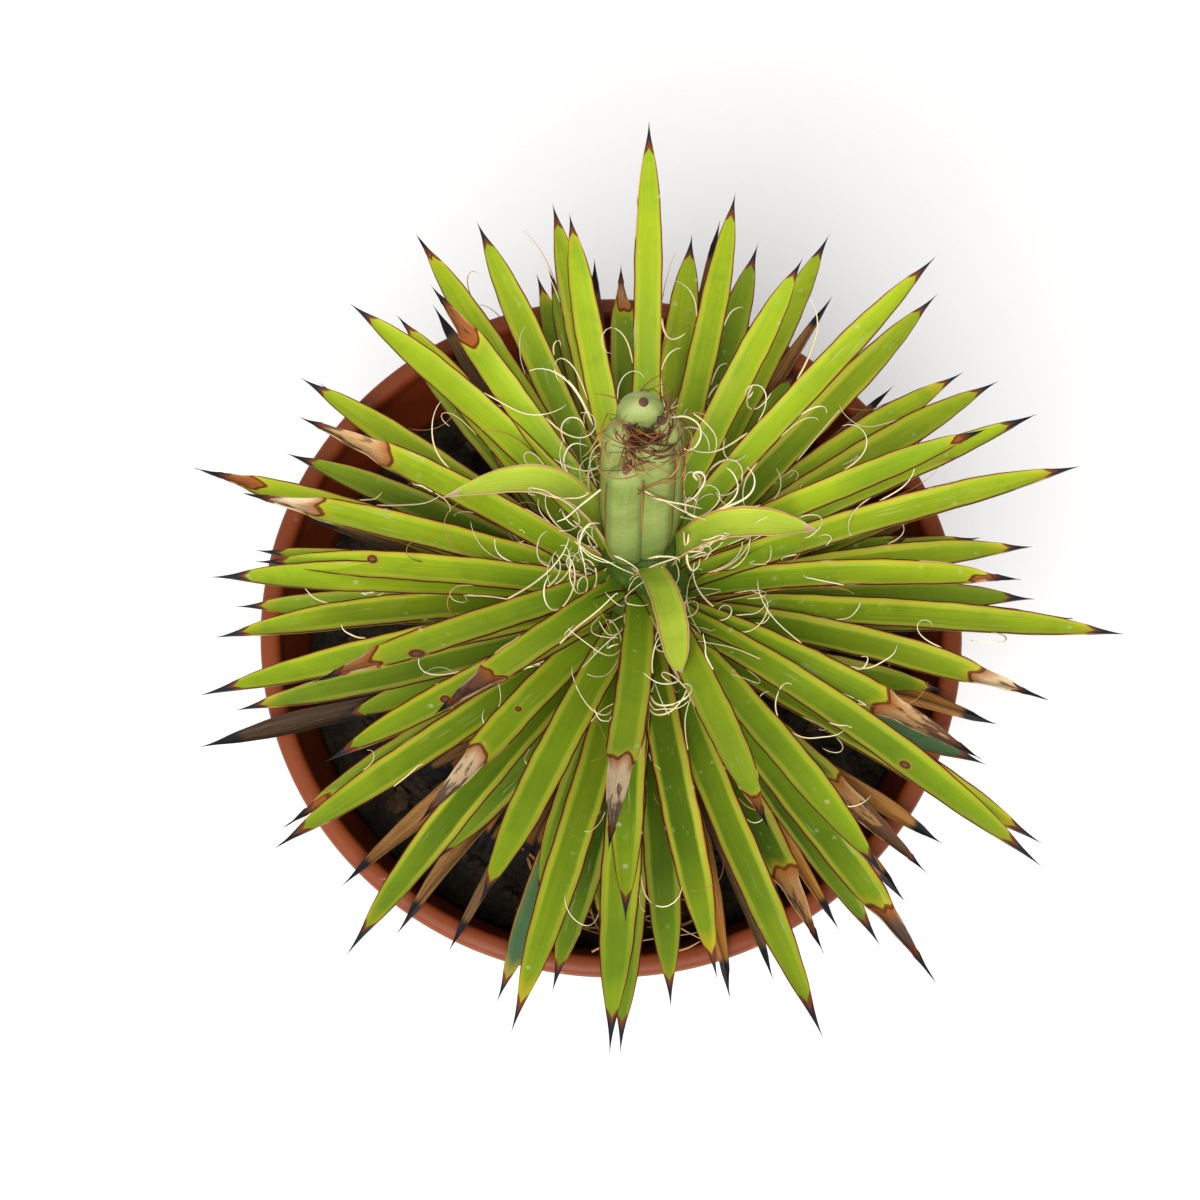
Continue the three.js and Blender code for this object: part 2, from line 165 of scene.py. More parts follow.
NO_MARK = (9, 0, 1)     # a mark and a dried end that lie past the tip
NOT_DRIED = (2, 0)
MARK_ASPECT = 0.046     # half a leaf's width as a share of its length

# ---- Small tools ----


def draw(seed):
    """A repeatable draw between 0 and 1 from a number: the fraction of a large sine."""
    value = np.sin(np.asarray(seed, float) * 12.9898) * 43758.5453
    return value - np.floor(value)


def part_way(ends, share):
    """The value at a share of the way through a range of [least, most]."""
    return ends[0] + (ends[1] - ends[0]) * share


def between(ends, seed):
    """A draw from a range of [least, most]."""
    return part_way(ends, draw(seed))


def spread(size, seed):
    """A draw from an even spread of this size about zero."""
    return size * (draw(seed) - 0.5)


def unit(vector):
    """The vector at length 1, along the last axis."""
    vector = np.asarray(vector, float)
    return vector / np.linalg.norm(vector, axis=-1, keepdims=True)


def smooth(low, high, x):
    """0 below low, 1 above high, and a smooth step between them."""
    t = np.clip((x - low) / (high - low), 0, 1)
    return t * t * (3 - 2 * t)


def turn_matrix(axis, angle):
    """Rotation about an axis by an angle, as a 3 by 3 array."""
    return np.array(Matrix.Rotation(angle, 3, Vector(axis)))


def turns(count):
    """The angles that divide one whole turn evenly."""
    return np.linspace(0, 2 * np.pi, count + 1)[:-1]


def joined(*parts):
    """Numbers or grids of them, spread over one grid and joined to a vector at each of its points."""
    return np.stack(np.broadcast_arrays(*parts), -1)


def turned(radius, turn, z):
    """Points at a radius, an angle and a height: a profile turned round the upright axis."""
    return joined(radius * np.cos(turn), radius * np.sin(turn), z)


# ---- Mesh building ----


def tube(points):
    """Faces of a grid of rings, points[row, column], each ring joined round and each end closed to its
    middle. Returns (vertices, quads, triangles)."""
    rows, columns, _ = points.shape
    ids = np.arange(rows * columns).reshape(rows, columns)
    after = np.roll(ids, -1, axis=1)
    quads = np.stack([ids[:-1], after[:-1], after[1:], ids[1:]], -1).reshape(-1, 4)
    first, last = rows * columns, rows * columns + 1
    vertices = np.vstack([points.reshape(-1, 3), points[0].mean(0), points[-1].mean(0)])
    start = np.stack([after[0], ids[0], np.full(columns, first)], -1)
    end = np.stack([ids[-1], after[-1], np.full(columns, last)], -1)
    return vertices, quads, np.vstack([start, end])


class Surface:
    """Gathers surfaces into one mesh: vertices in millimetres, faces, and vectors kept per vertex."""

    def __init__(self):
        self.vertices, self.quads, self.triangles, self.kept, self.count = [], [], [], {}, 0

    def add(self, vertices, quads, triangles):
        """Adds vertices, and faces that count them from 0."""
        self.vertices.append(vertices)
        self.quads.append(quads + self.count)
        self.triangles.append(triangles + self.count)
        self.count += len(vertices)

    def skin(self, points, **kept):
        """Adds a closed tube, points[row, column]. What it keeps is named: three numbers, or grids of them,
        per point, and at its two closing points those of the first and the last one."""
        self.add(*tube(points))
        for name, values in kept.items():
            flat = joined(*(np.broadcast_to(value, points.shape[:2]) for value in values)).reshape(-1, 3)
            self.kept.setdefault(name, []).append(np.vstack([flat, flat[:1], flat[-1:]]))

    def solid(self, name, shade_smooth=True):
        """Makes the mesh, in metres, and its object at the origin."""
        vertices = np.vstack(self.vertices) * MM
        quads = np.vstack(self.quads)
        triangles = np.vstack(self.triangles)
        corners = np.concatenate([quads.ravel(), triangles.ravel()])
        starts = np.concatenate([
            np.arange(len(quads)) * 4, len(quads) * 4 + np.arange(len(triangles)) * 3])
        mesh = bpy.data.meshes.new(name)
        mesh.vertices.add(len(vertices))
        mesh.vertices.foreach_set("co", vertices.ravel())
        mesh.loops.add(len(corners))
        mesh.loops.foreach_set("vertex_index", corners)
        mesh.polygons.add(len(starts))
        mesh.polygons.foreach_set("loop_start", starts)
        mesh.polygons.foreach_set("use_smooth", np.full(len(starts), shade_smooth))
        for kept, values in self.kept.items():
            layer = mesh.attributes.new(kept, "FLOAT_VECTOR", "POINT")
            layer.data.foreach_set("vector", np.vstack(values).astype(float).ravel())
        mesh.update(calc_edges=True)
        solid = bpy.data.objects.new(name, mesh)
        bpy.context.scene.collection.objects.link(solid)
        return solid

    def piece(self, name, finish, slot, replaced=(), shade_smooth=True):
        """Makes a finished piece of the plant or the pot, which rides on the root body."""
        piece = self.solid(name, shade_smooth)
        piece.data.materials.append(finish)
        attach(piece, "root")
        if replaced:
            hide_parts(*replaced)
        return piece


# ---- Shader building ----


class Value:
    """A number that changes over a surface. Arithmetic on it adds Math nodes."""

    def __init__(self, finish, socket):
        self.finish, self.socket = finish, socket

    def math(self, operation, first, *others):
        return self.finish.value("ShaderNodeMath", {"operation": operation}, first, *others)

    def __add__(self, other):
        return self.math("ADD", self, other)

    def __radd__(self, other):
        return self.math("ADD", other, self)

    def __sub__(self, other):
        return self.math("SUBTRACT", self, other)

    def __rsub__(self, other):
        return self.math("SUBTRACT", other, self)

    def __mul__(self, other):
        return self.math("MULTIPLY", self, other)

    def __rmul__(self, other):
        return self.math("MULTIPLY", other, self)

    def __pow__(self, other):
        return self.math("POWER", self, other)

    def __abs__(self):
        return self.math("ABSOLUTE", self)

    def fraction(self):
        return self.math("FRACT", self)

    def step(self, low, high):
        """0 below low, 1 above high, smooth between them."""
        settings = {"interpolation_type": "SMOOTHSTEP"}
        return self.finish.value("ShaderNodeMapRange", settings, self, low, high, 0.0, 1.0)

    def within(self, low, high, fade):
        """1 from low to high, fading to 0 outside them."""
        return self.step(low - fade, low) * (1 - self.step(high, high + fade))


class Finish:
    """One procedural material and the nodes in it."""

    def __init__(self, name):
        self.material = bpy.data.materials.new(name)
        self.material.use_nodes = True
        self.tree = self.material.node_tree
        self.tree.nodes.clear()
        self.shader = self.tree.nodes.new("ShaderNodeBsdfPrincipled")
        output = self.tree.nodes.new("ShaderNodeOutputMaterial")
        self.tree.links.new(self.shader.outputs["BSDF"], output.inputs["Surface"])

    def node(self, kind, settings, *inputs, **named):
        """Adds a node: its settings first, then the values or links of its sockets."""
        made = self.tree.nodes.new(kind)
        for key, value in settings.items():
            setattr(made, key, value)
        for socket, value in [*zip(made.inputs, inputs), *((made.inputs[k], v) for k, v in named.items())]:
            self.put(socket, value)
        return made

    def put(self, socket, value):
        if isinstance(value, Value):
            self.tree.links.new(value.socket, socket)
        elif isinstance(value, bpy.types.NodeSocket):
            self.tree.links.new(value, socket)
        else:
            socket.default_value = value

    def value(self, kind, settings, *inputs):
        return Value(self, self.node(kind, settings, *inputs).outputs[0])

    def place(self):
        """The point on the object, in metres."""
        return self.node("ShaderNodeTexCoord", {}).outputs["Object"]

    def parts(self, vector):
        """The three numbers of a vector."""
        return [Value(self, socket) for socket in self.node("ShaderNodeSeparateXYZ", {}, vector).outputs]

    def kept(self, name):
        """A vector kept per vertex, as its three numbers."""
        return self.parts(self.node("ShaderNodeAttribute", {"attribute_name": name}).outputs["Vector"])

    def vector(self, x, y, z):
        return self.node("ShaderNodeCombineXYZ", {}, x, y, z).outputs[0]

    def noise(self, where, scale, detail=2.0, rough=0.5):
        made = self.node("ShaderNodeTexNoise", {}, Vector=where, Scale=scale, Detail=detail, Roughness=rough)
        return Value(self, made.outputs["Fac"])

    def streaks(self, leaf, across, length, own, detail=2.0, rough=0.5):
        """Noise that follows a leaf, drawn finer across and along it by these, and new on each leaf."""
        where = self.vector(leaf.across * across, leaf.length * length, leaf.own * own)
        return self.noise(where, 1.0, detail, rough)

    def cells(self, where, scale):
        """The distance from the nearest of many scattered points."""
        made = self.node("ShaderNodeTexVoronoi", {}, Vector=where, Scale=scale)
        return Value(self, made.outputs["Distance"])

    def blend(self, factor, first, second):
        """The first colour where the factor is 0 and the second where it is 1."""
        made = self.tree.nodes.new("ShaderNodeMix")
        made.data_type = "RGBA"
        self.put(made.inputs["Factor"], factor)
        for socket, colour in zip([s for s in made.inputs if s.type == "RGBA"], (first, second)):
            self.put(socket, (*colour, 1) if isinstance(colour, tuple) else colour)
        return next(s for s in made.outputs if s.type == "RGBA")

    def over(self, colour, *layers):
        """A colour with layers laid over it in turn, each given as (how far it covers, its colour)."""
        for cover, layer in layers:
            colour = self.blend(cover, colour, layer)
        return colour

    def bump(self, height, depth_mm):
        made = self.node("ShaderNodeBump", {}, Strength=1.0, Distance=depth_mm * MM, Height=height)
        self.put(self.shader.inputs["Normal"], made.outputs["Normal"])

    def set(self, **inputs):
        """Sets the shader's own sockets; an underscore in a name stands for a space."""
        for name, value in inputs.items():
            self.put(self.shader.inputs[name.replace("_", " ")], value)
        return self.material


# ---- Finishes ----

RUST_RIM = (0.46, 0.17, 0.012)
DARK_RIM = (0.045, 0.011, 0.005)
PEELED_RIM = (0.66, 0.48, 0.25)
SOFT_RIM = (0.52, 0.36, 0.22)
CHALK = (0.52, 0.60, 0.30)
YOUNG_GREEN = (0.46, 0.57, 0.06)
RIPE_YELLOW = (0.58, 0.42, 0.02)
DRY_CREAM = (0.72, 0.55, 0.34)
DRY_TAN = (0.52, 0.30, 0.12)
DRY_RUST = (0.30, 0.10, 0.025)
DRY_GREY = (0.11, 0.07, 0.055)
SCORCHED = (0.36, 0.10, 0.010)
SPINE_DARK = (0.022, 0.021, 0.027)

# A leaf keeps along = (share of its length, place across from -1 to 1, 1 on the upper face), nature = (its
# own draw, share where its dried end starts, the dried end's tone) and mark = (where its brown mark lies as
# a share of the length, its place across, the leaf's length over the mark's radius). A tone under 0 marks a
# soft young leaf with pale rims.


def read_blade(f):
    """What a blade keeps, by name, and the place on the object."""
    length, across, upper = f.kept("along")
    own, dry_from, tone = f.kept("nature")
    return SimpleNamespace(
        length=length, across=across, upper=upper, own=own, dry_from=dry_from, tone=tone, place=f.place())


def read_green_leaf(f):
    """A blade's numbers and those that follow from them. Painted front shading grows to the front: there the
    leaves' colour is partly painted shade, partly the deeper middles they have. Reach is the length, with a
    little more at the edges, for lines that bow towards the root there. Past counts the length from the start
    of the dried end, whose line is ragged and bows towards the tip at the edges."""
    leaf = read_blade(f)
    leaf.off_middle = abs(leaf.across)
    leaf.under = 1 - leaf.upper
    leaf.clouds = f.noise(leaf.place, 60.0, 3.0)
    leaf.striped = (leaf.own * 7.3).fraction()
    leaf.horny = (leaf.own * 13.7).fraction()
    # painted shade: 1 at the front of the plant, where the leaves' colour is painted to stand in for shade
    leaf.shaded = f.parts(leaf.place)[1].step(0.005, -0.05)
    leaf.soft = leaf.tone.step(-0.2, -0.8)
    leaf.reach = leaf.length + leaf.off_middle * 0.02
    ragged = (f.streaks(leaf, 0.8, 3, 50, 1.0, 0.4) - 0.5) * 0.14
    leaf.past = leaf.length + ragged - leaf.dry_from - leaf.off_middle * leaf.off_middle * 0.02
    leaf.dried = leaf.past.step(-0.002, 0.002)
    leaf.grain = f.streaks(leaf, 9, 9, 60, 5.0, 0.65)
    return leaf


def green_layers(f, leaf, bright, deep, stripe):
    """Brighter from the root outwards, less so to the front, where painted shade darkens the tips and
    lightens the roots; clouded, and streaked lengthwise.
    """
    fine = f.streaks(leaf, 16, 2.5, 40, 3.0, 0.6)
    broad = f.streaks(leaf, 3, 5, 23, 3.0)
    outward = (leaf.length + (leaf.clouds - 0.5) * 0.3 + (leaf.own - 0.5) * 0.3).step(-0.2, 0.62)
    # painted shade to the front: the tips are painted darker and the roots lighter
    outward = outward * (1 - 0.6 * leaf.shaded) + 0.25 * leaf.shaded
    return [
        (outward * (0.7 + 0.5 * broad), bright),
        (leaf.soft * 0.6, YOUNG_GREEN),
        (fine.step(0.5, 0.8) * 0.3, deep),
        (leaf.clouds.step(0.50, 0.75) * 0.45, deep),
        (f.noise(leaf.place, 190.0, 4.0, 0.65).step(0.5, 0.7) * 0.25, deep),
        (fine.step(0.5, 0.25) * 0.12, stripe),
        (leaf.under * 0.3, deep),
    ]


def edge_layers(f, leaf, deep, stripe, banded):
    """A dark middle, a golden stripe along each edge, wider on one side, a rust line, and a horny dark rim,
    peeled pale on some leaves. Middle and stripes end short of the tip. To the front the middle is deeper
    and the stripes stronger, partly painted shade."""
    wave = f.noise(f.vector(leaf.length * 20, leaf.across, leaf.own * 30), 1.0, 3.0) - 0.5
    # the stripes and the dark middle are stronger to the front, partly painted shade
    strength = banded * (0.35 + 0.65 * leaf.striped) * (0.7 + 0.3 * leaf.shaded) * (1 - 0.6 * leaf.soft)
    short_of_tip = 1 - leaf.length.step(0.6, 0.88) * 0.75
    edge = leaf.off_middle + wave * 0.03 - leaf.across * (0.16 * leaf.striped - 0.02)
    middle = (1 - edge.step(0.46, 0.62)) * leaf.length.step(0.0, 0.15) * short_of_tip
    band = edge.step(0.56, 0.68) * (0.35 + 0.65 * leaf.length.step(0.0, 0.25)) * short_of_tip
    peeling = f.noise(f.vector(leaf.length * 4, leaf.across * 0.5, leaf.own * 71), 1.0, 2.0)
    peeled = peeling.step(0.62, 0.5 + 0.2 * leaf.horny) * (1 - leaf.under) * leaf.horny.step(0.6, 0.7)
    return [
        # the dark middle, deeper to the front, partly painted shade
        (middle * strength * (0.5 + 0.45 * leaf.shaded), tuple(c * 0.6 for c in deep)),
        (band * strength * (1 - 0.3 * leaf.under), stripe),
        ((leaf.off_middle + wave * 0.06).step(0.83, 0.885) * (0.5 + 0.45 * leaf.horny), RUST_RIM),
        ((leaf.off_middle + wave * 0.03).step(0.915, 0.935),
         f.over(DARK_RIM, (peeled, PEELED_RIM), (leaf.soft, SOFT_RIM))),
    ]


def fleck_layers(f, leaf):
    """Chalky dots in patches, short pale dashes on some leaves, smears, and pale streaks along the leaf,
    partly waxy bloom and partly painted sheen.
    """
    place = leaf.place
    chalk = f.cells(place, 330.0).step(0.18, 0.08) * f.noise(place, 90.0).step(0.53, 0.66)
    dashes = f.cells(f.vector(leaf.across * 3, leaf.length * 26, leaf.own * 90), 1.0).step(0.24, 0.12)
    dashes = dashes * f.noise(place, 75.0).step(0.54, 0.64) * (leaf.own * 5.1).fraction().step(0.4, 0.7)
    smear = f.noise(place, 420.0, 4.0, 0.7).step(0.62, 0.74) * f.noise(place, 45.0).step(0.5, 0.62)
    # pale streaks along the leaf: partly waxy bloom, partly painted sheen
    bloom_and_painted_sheen = f.streaks(leaf, 5, 7, 110, 4.0, 0.6).step(0.58, 0.72) * f.noise(place, 70.0).step(0.52, 0.64)
    return [(chalk * 0.55 + dashes * 0.25, CHALK), (smear * 0.3, CHALK), (bloom_and_painted_sheen * 0.45, CHALK)]


def mark_layers(f, leaf):
    """A round brown mark: a yellowed halo, a dark ring and a paler middle, by the distance from it."""
    mark_at, mark_aside, mark_scale = f.kept("mark")
    aside = (leaf.across - mark_aside) * MARK_ASPECT
    mark = 1 - ((leaf.length - mark_at) ** 2.0 + aside * aside) ** 0.5 * mark_scale
    return [
        (mark.step(-0.6, 0.1) * 0.6, (0.42, 0.26, 0.02)),
        (mark.step(0.0, 0.2), (0.12, 0.035, 0.012)),
        (mark.step(0.45, 0.75) * 0.7, (0.22, 0.11, 0.05)),
    ]


def dried_layers(f, leaf):
    """A dried end: yellow before it, a dark line where it starts, a scorched band, then cream, tan,
    red-brown or grey by its tone, blotched and with paler edges."""
    blotch = f.streaks(leaf, 1.6, 11, 80, 5.0, 0.6)
    dried = f.over(
        DRY_CREAM,
        (leaf.tone.step(0.05, 0.35), DRY_TAN),
        (leaf.tone.step(0.4, 0.65), DRY_RUST),
        (leaf.tone.step(0.7, 0.95), DRY_GREY),
        (leaf.grain.step(0.5, 0.75) * 0.45, (0.15, 0.07, 0.035)),
        (leaf.off_middle.step(0.75, 0.95) * 0.4, DRY_CREAM),
        ((blotch + leaf.past * 1.3).step(0.60, 0.70) * 0.85, (0.07, 0.03, 0.022)),
        (leaf.past.step(0.05, 0.0) * 0.85, SCORCHED),
    )
    return [
        (leaf.past.step(-0.035, 0.0) * 0.45, RIPE_YELLOW),
        (leaf.dried, dried),
        (leaf.past.within(-0.003, 0.003, 0.005) * 0.9, (0.11, 0.025, 0.007)),
    ]


def spine_layers(f, leaf):
    """The spine: red-brown as it starts, nearly black, and greyed at its point, painted light that stands in
    for the bright glare behind it; pale on a soft leaf.
    """
    spine = leaf.reach - leaf.own * 0.014
    dark_from = spine - leaf.horny * 0.014
    return [
        (spine.step(0.920, 0.928), f.blend(leaf.soft, (0.17, 0.045, 0.015), SOFT_RIM)),
        (dark_from.step(0.925, 0.945) * (1 - leaf.soft), SPINE_DARK),
        # painted light: the point is greyed to stand in for the bright glare round it
        (leaf.length.step(0.98, 1.0) * 0.4, (0.12, 0.11, 0.12)),
    ]


def leaf_finish(name, bright, deep, stripe, banded):
    """Green leaf: a deep green under layers of brighter green, edges, flecks, a mark, a yellow end short of
    the spine that is stronger on some leaves, a dried end where it has one, and the spine. Banded says how
    strong the stripes and the dark middle are."""
    f = Finish(name)
    leaf = read_green_leaf(f)
    colour = f.over(
        deep,
        *green_layers(f, leaf, bright, deep, stripe),
        *edge_layers(f, leaf, deep, stripe, banded),
        *fleck_layers(f, leaf),
        *mark_layers(f, leaf),
        (leaf.reach.step(0.88, 0.93) * leaf.own.step(0.4, 1.0) * 0.6, RIPE_YELLOW),
        *dried_layers(f, leaf),
        *spine_layers(f, leaf),
    )
    rough = 0.38 + 0.2 * leaf.clouds + 0.3 * leaf.dried
    ridges = f.streaks(leaf, 14, 1.2, 20)
    f.bump(ridges * 0.6 + leaf.grain * leaf.dried * 2 + leaf.clouds * 0.4, 0.10)
    return f.set(Base_Color=colour, Roughness=rough, Specular_IOR_Level=0.17)


def dry_finish():
    """Dead leaf: papery, streaked lengthwise, from orange-tan over brown to nearly black, with a darker rim
    and a blue-black spine."""
    f = Finish("dry_leaf")
    leaf = read_blade(f)
    fibres = f.streaks(leaf, 8, 5, 90, 5.0, 0.65)
    fine = f.streaks(leaf, 26, 3, 45)
    blots = f.noise(leaf.place, 90.0, 3.0)
    colour = f.over(
        (0.52, 0.22, 0.040),
        (leaf.tone.step(0.1, 0.35), (0.36, 0.17, 0.050)),
        (leaf.tone.step(0.4, 0.65), (0.19, 0.115, 0.055)),
        (leaf.tone.step(0.7, 0.95), (0.055, 0.038, 0.026)),
        (fibres.step(0.46, 0.62) * (0.45 + 0.4 * leaf.tone), (0.07, 0.030, 0.013)),
        (fine.step(0.54, 0.7) * 0.35, (0.58, 0.36, 0.13)),
        (blots.step(0.5, 0.7) * (0.3 - 0.25 * leaf.tone), (0.46, 0.23, 0.07)),
        ((1 - leaf.length).step(0.5, 0.9) * 0.8, (0.045, 0.026, 0.014)),
        (abs(leaf.across).step(0.86, 0.96) * 0.6, (0.07, 0.028, 0.014)),
        ((leaf.length + fibres * 0.03).step(0.90, 0.925), SPINE_DARK),
    )
    f.bump(fibres + fine * 0.5, 0.35)
    return f.set(Base_Color=colour, Roughness=0.55 + 0.3 * fibres, Specular_IOR_Level=0.25)


def bud_finish():
    """Young leaf of the bud: pale green with a waxy bloom, faint creases, rust margins, and a soft
    purple-brown spine, which keeps a length above 1.5. Painted shade darkens each leaf towards its foot and
    its sides, where the leaves press together, the dark line at each margin is partly a painted shadow line,
    and a painted highlight pales the domed top."""
    f = Finish("bud_leaf")
    leaf = read_blade(f)
    clouds = f.noise(leaf.place, 150.0, 3.0)
    streaks = f.streaks(leaf, 6, 2, 40, 3.0)
    edge = (abs(leaf.across) + (clouds - 0.5) * 0.04) * (1 - 0.2 * leaf.length.step(0.84, 0.9))
    colour = f.over(
        (0.205, 0.27, 0.062),
        (clouds.step(0.35, 0.65), (0.28, 0.345, 0.10)),
        (streaks.step(0.45, 0.75) * 0.4, (0.33, 0.39, 0.135)),
        # painted shade: darker towards the foot, down among the leaves
        ((1 - leaf.length).step(0.5, 1.0) * 0.8, (0.105, 0.17, 0.03)),
        # painted highlight: paler on the domed top
        (leaf.length.step(0.85, 1.0) * 0.3, (0.39, 0.43, 0.15)),
        # painted shade: darker towards the sides, where the young leaves press together
        (edge.step(0.5, 0.9) * 0.55, (0.13, 0.19, 0.035)),
        (edge.step(0.88, 0.96) * 0.5, (0.30, 0.22, 0.045)),
        # the dark line at the margin: rust, and partly a painted shadow line
        (edge.step(0.972, 0.99) * 0.9, (0.15, 0.04, 0.012)),
        (leaf.length.step(1.5, 1.6), (0.20, 0.085, 0.055)),
        (leaf.length.step(1.9, 2.4), (0.10, 0.03, 0.022)),
    )
    f.bump(f.streaks(leaf, 2, 40, 70, 4.0, 0.6) + streaks * 0.35, 0.16)
    return f.set(Base_Color=colour, Roughness=0.36 + 0.2 * clouds, Specular_IOR_Level=0.35)


def thread_finish(name, near, far):
    """Leaf thread: one colour at its root and another at its loose end."""
    f = Finish(name)
    thread = read_blade(f)
    colour = f.blend((thread.length + thread.own * 0.6 - 0.3).step(0.0, 0.9), near, far)
    f.bump(f.noise(thread.place, 2500.0), 0.03)
    return f.set(Base_Color=colour, Roughness=0.6)


def pot_finish():
    """Terracotta-coloured pot: deep red-brown, with faint turning lines, a few scuffs on the lip, and a thin
    mineral bloom. The inner wall above the soil is painted a brighter, deeper red, painted light that stands
    in for the light inside the pot, and the lip is painted paler, painted light on the rim's top."""
    f = Finish("pot_terracotta")
    place = f.place()
    x, y, z = f.parts(place)
    clouds = f.noise(place, 35.0, 4.0)
    bloom = f.noise(place, 22.0, 5.0, 0.65).step(0.52, 0.72)
    lip = z.step((POT_HEIGHT - 2.4) * MM, (POT_HEIGHT - 0.6) * MM)
    scuffs = f.noise(place, 240.0, 5.0, 0.75).step(0.60, 0.70) * lip
    reach = (x * x + y * y) ** 0.5
    # painted light: the inner wall above the soil gets a brighter, deeper red of its own
    inside = reach.step((RIM_RADIUS - LIP_WIDTH + 1) * MM, (RIM_RADIUS - LIP_WIDTH) * MM)
    inside = inside * z.step(SOIL_LEVEL * MM, (SOIL_LEVEL + 1) * MM)
    grime = (1 - z.step(0.0, 0.03)) * clouds
    colour = f.over(
        (0.135, 0.025, 0.007),
        (clouds.step(0.3, 0.7), (0.19, 0.038, 0.011)),
        (bloom * 0.08, (0.46, 0.25, 0.16)),
        # painted light: the lip is painted paler on the rim's top
        (lip * 0.4, (0.26, 0.064, 0.021)),
        (scuffs * 0.45, (0.62, 0.36, 0.24)),
        # painted light on the inner wall above the soil
        (inside * 0.85, (0.27, 0.042, 0.011)),
        (grime * 0.35, (0.13, 0.05, 0.03)),
    )
    turning = f.noise(f.vector(0.0, 0.0, z * 900), 1.0)
    f.bump(f.noise(place, 900.0) * 0.5 + turning * 0.5, 0.06)
    return f.set(Base_Color=colour, Roughness=0.34 + 0.2 * clouds, Specular_IOR_Level=0.2)


def soil_finish(name, dark, light):
    """Potting soil: dark crumbs with lighter bark and dust between them."""
    f = Finish(name)
    place = f.place()
    crumbs = f.cells(place, 520.0)
    patches = f.noise(place, 180.0, 4.0, 0.6)
    colour = f.over(dark, (patches.step(0.35, 0.7), light), (crumbs.step(0.1, 0.5) * 0.5, dark))
    f.bump(crumbs + f.noise(place, 1400.0, 3.0), 0.6)
    return f.set(Base_Color=colour, Roughness=0.9, Specular_IOR_Level=0.2)


# ---- The plant's own frame: its origin at the stem's foot, its +Z along the stem ----

STEM_AXIS = unit([0, math.tan(math.radians(STEM_LEAN)), 1])
LEAN = np.array(Vector((0, 0, 1)).rotation_difference(Vector(STEM_AXIS)).to_matrix())


def to_world(points):
    """Points or a point of the plant's frame, turned by its lean and moved to the stem's foot."""
    return points @ LEAN.T + STEM_FOOT


def clear_of_lip(point, direction, height):
    """Lifts a direction until its line passes at this height over a band along the pot's lip."""
    for radius in (RIM_RADIUS - CLEAR_INSIDE, RIM_RADIUS + CLEAR_OUTSIDE):
        a = direction[0] ** 2 + direction[1] ** 2
        b = point[0] * direction[0] + point[1] * direction[1]
        c = point[0] ** 2 + point[1] ** 2 - radius**2
        over = point + direction * (-b + math.sqrt(b * b - a * c)) / a
        if over[2] < POT_HEIGHT + height:
            over[2] = POT_HEIGHT + height
            direction = unit(over - point)
    return direction


def leaf_from(axis_point, direction, length, **rest):
    """A leaf in the plant's frame, given from a point on the stem's axis and started clear of it."""
    start = LEAF_ROOT / math.hypot(direction[0], direction[1])
    return dict(
        root=axis_point + direction * start, direction=direction, length=length - start,
        dried=NOT_DRIED, mark=NO_MARK, **rest)


def ring_leaf(ring, heading, length, seed):
    """Where a leaf of a ring lies, and how it bends."""
    h, rise = math.radians(heading), math.radians(ring["rise"])
    axis_point = np.array([0, 0, ring["exit"] - STEM_RADIUS * math.tan(rise)])
    direct = np.array([math.cos(rise) * math.cos(h), math.cos(rise) * math.sin(h), math.sin(rise)])
    lifted = clear_of_lip(to_world(axis_point), LEAN @ direct, ring["clear"])
    return leaf_from(
        axis_point, LEAN.T @ lifted, length, heading=heading, seed=seed, own=draw(seed + 0.1),
        width=ring["width"] * (1 + spread(WIDTH_SPREAD, seed)),
        thickness=ring.get("thickness", LEAF_THICKNESS),
        bow=ring["bow"] * (1 + spread(BOW_SPREAD, seed + 0.3)),
        sway=spread(SWAY_SPREAD, seed + 0.6),
        roll=math.radians(spread(ROLL_SPREAD, seed + 0.8)))


def ring_leaves(name):
    """The leaves of a ring with what single ones have: a dried end or a mark."""
    ring = RINGS[name]
    leaves = []
    for i, (heading, length) in enumerate(ring["leaves"]):
        leaf = ring_leaf(ring, heading, length, ring["seed"] + i)
        leaf["dried"] = DRIED_ENDS.get(name, {}).get(heading, NOT_DRIED)
        leaf["mark"] = MARKS.get(name, {}).get(heading, NO_MARK)
        leaves.append(leaf)
    return leaves


def hidden_leaves():
    """The leaves that the upper ones hide, placed by the golden angle."""
    leaves = []
    for k in range(HIDDEN["count"]):
        heading = HIDDEN["first"] + k * HIDDEN["turn"]
        length = between(HIDDEN["length"], HIDDEN["length_seed"] + k)
        leaves.append(ring_leaf(RINGS["oldest"], heading, length, HIDDEN["seed"] + k))
    return leaves


def short_dry_leaves(rule):
    """Short dead leaves inside the pot. Each starts at a drawn height on the stem's axis and ends at a drawn
    reach and height above the soil; their headings step round the stem by the rule's turn."""
    leaves = []
    for k in range(rule["count"]):
        seed = rule["seed"] + k
        h = math.radians(rule["first"] + k * rule["turn"])
        axis_point = np.array([0, 0, between(rule["root"], seed)])
        reach = between(rule["reach"], seed + 20)
        tip = to_world(axis_point) + (reach * math.cos(h), reach * math.sin(h), 0)
        tip[2] = SOIL_LEVEL + between(rule["tip"], seed + 40)
        run = LEAN.T @ (tip - STEM_FOOT) - axis_point
        length = np.linalg.norm(run)
        leaves.append(leaf_from(
            axis_point, run / length, length, seed=seed + 200, own=draw(seed + 120),
            width=RINGS["dry_long"]["width"], thickness=RINGS["dry_long"]["thickness"],
            bow=rule["bow"] * draw(seed + 60), sway=spread(rule["sway"], seed + 80),
            roll=math.radians(spread(rule["roll"], seed + 100))))
    return leaves


# ---- Blades ----

LENGTH_SHARES = np.concatenate([np.linspace(0, 0.84, 44), np.linspace(0.84, 1, 21)[1:]])
BLADE_TURNS = turns(24)


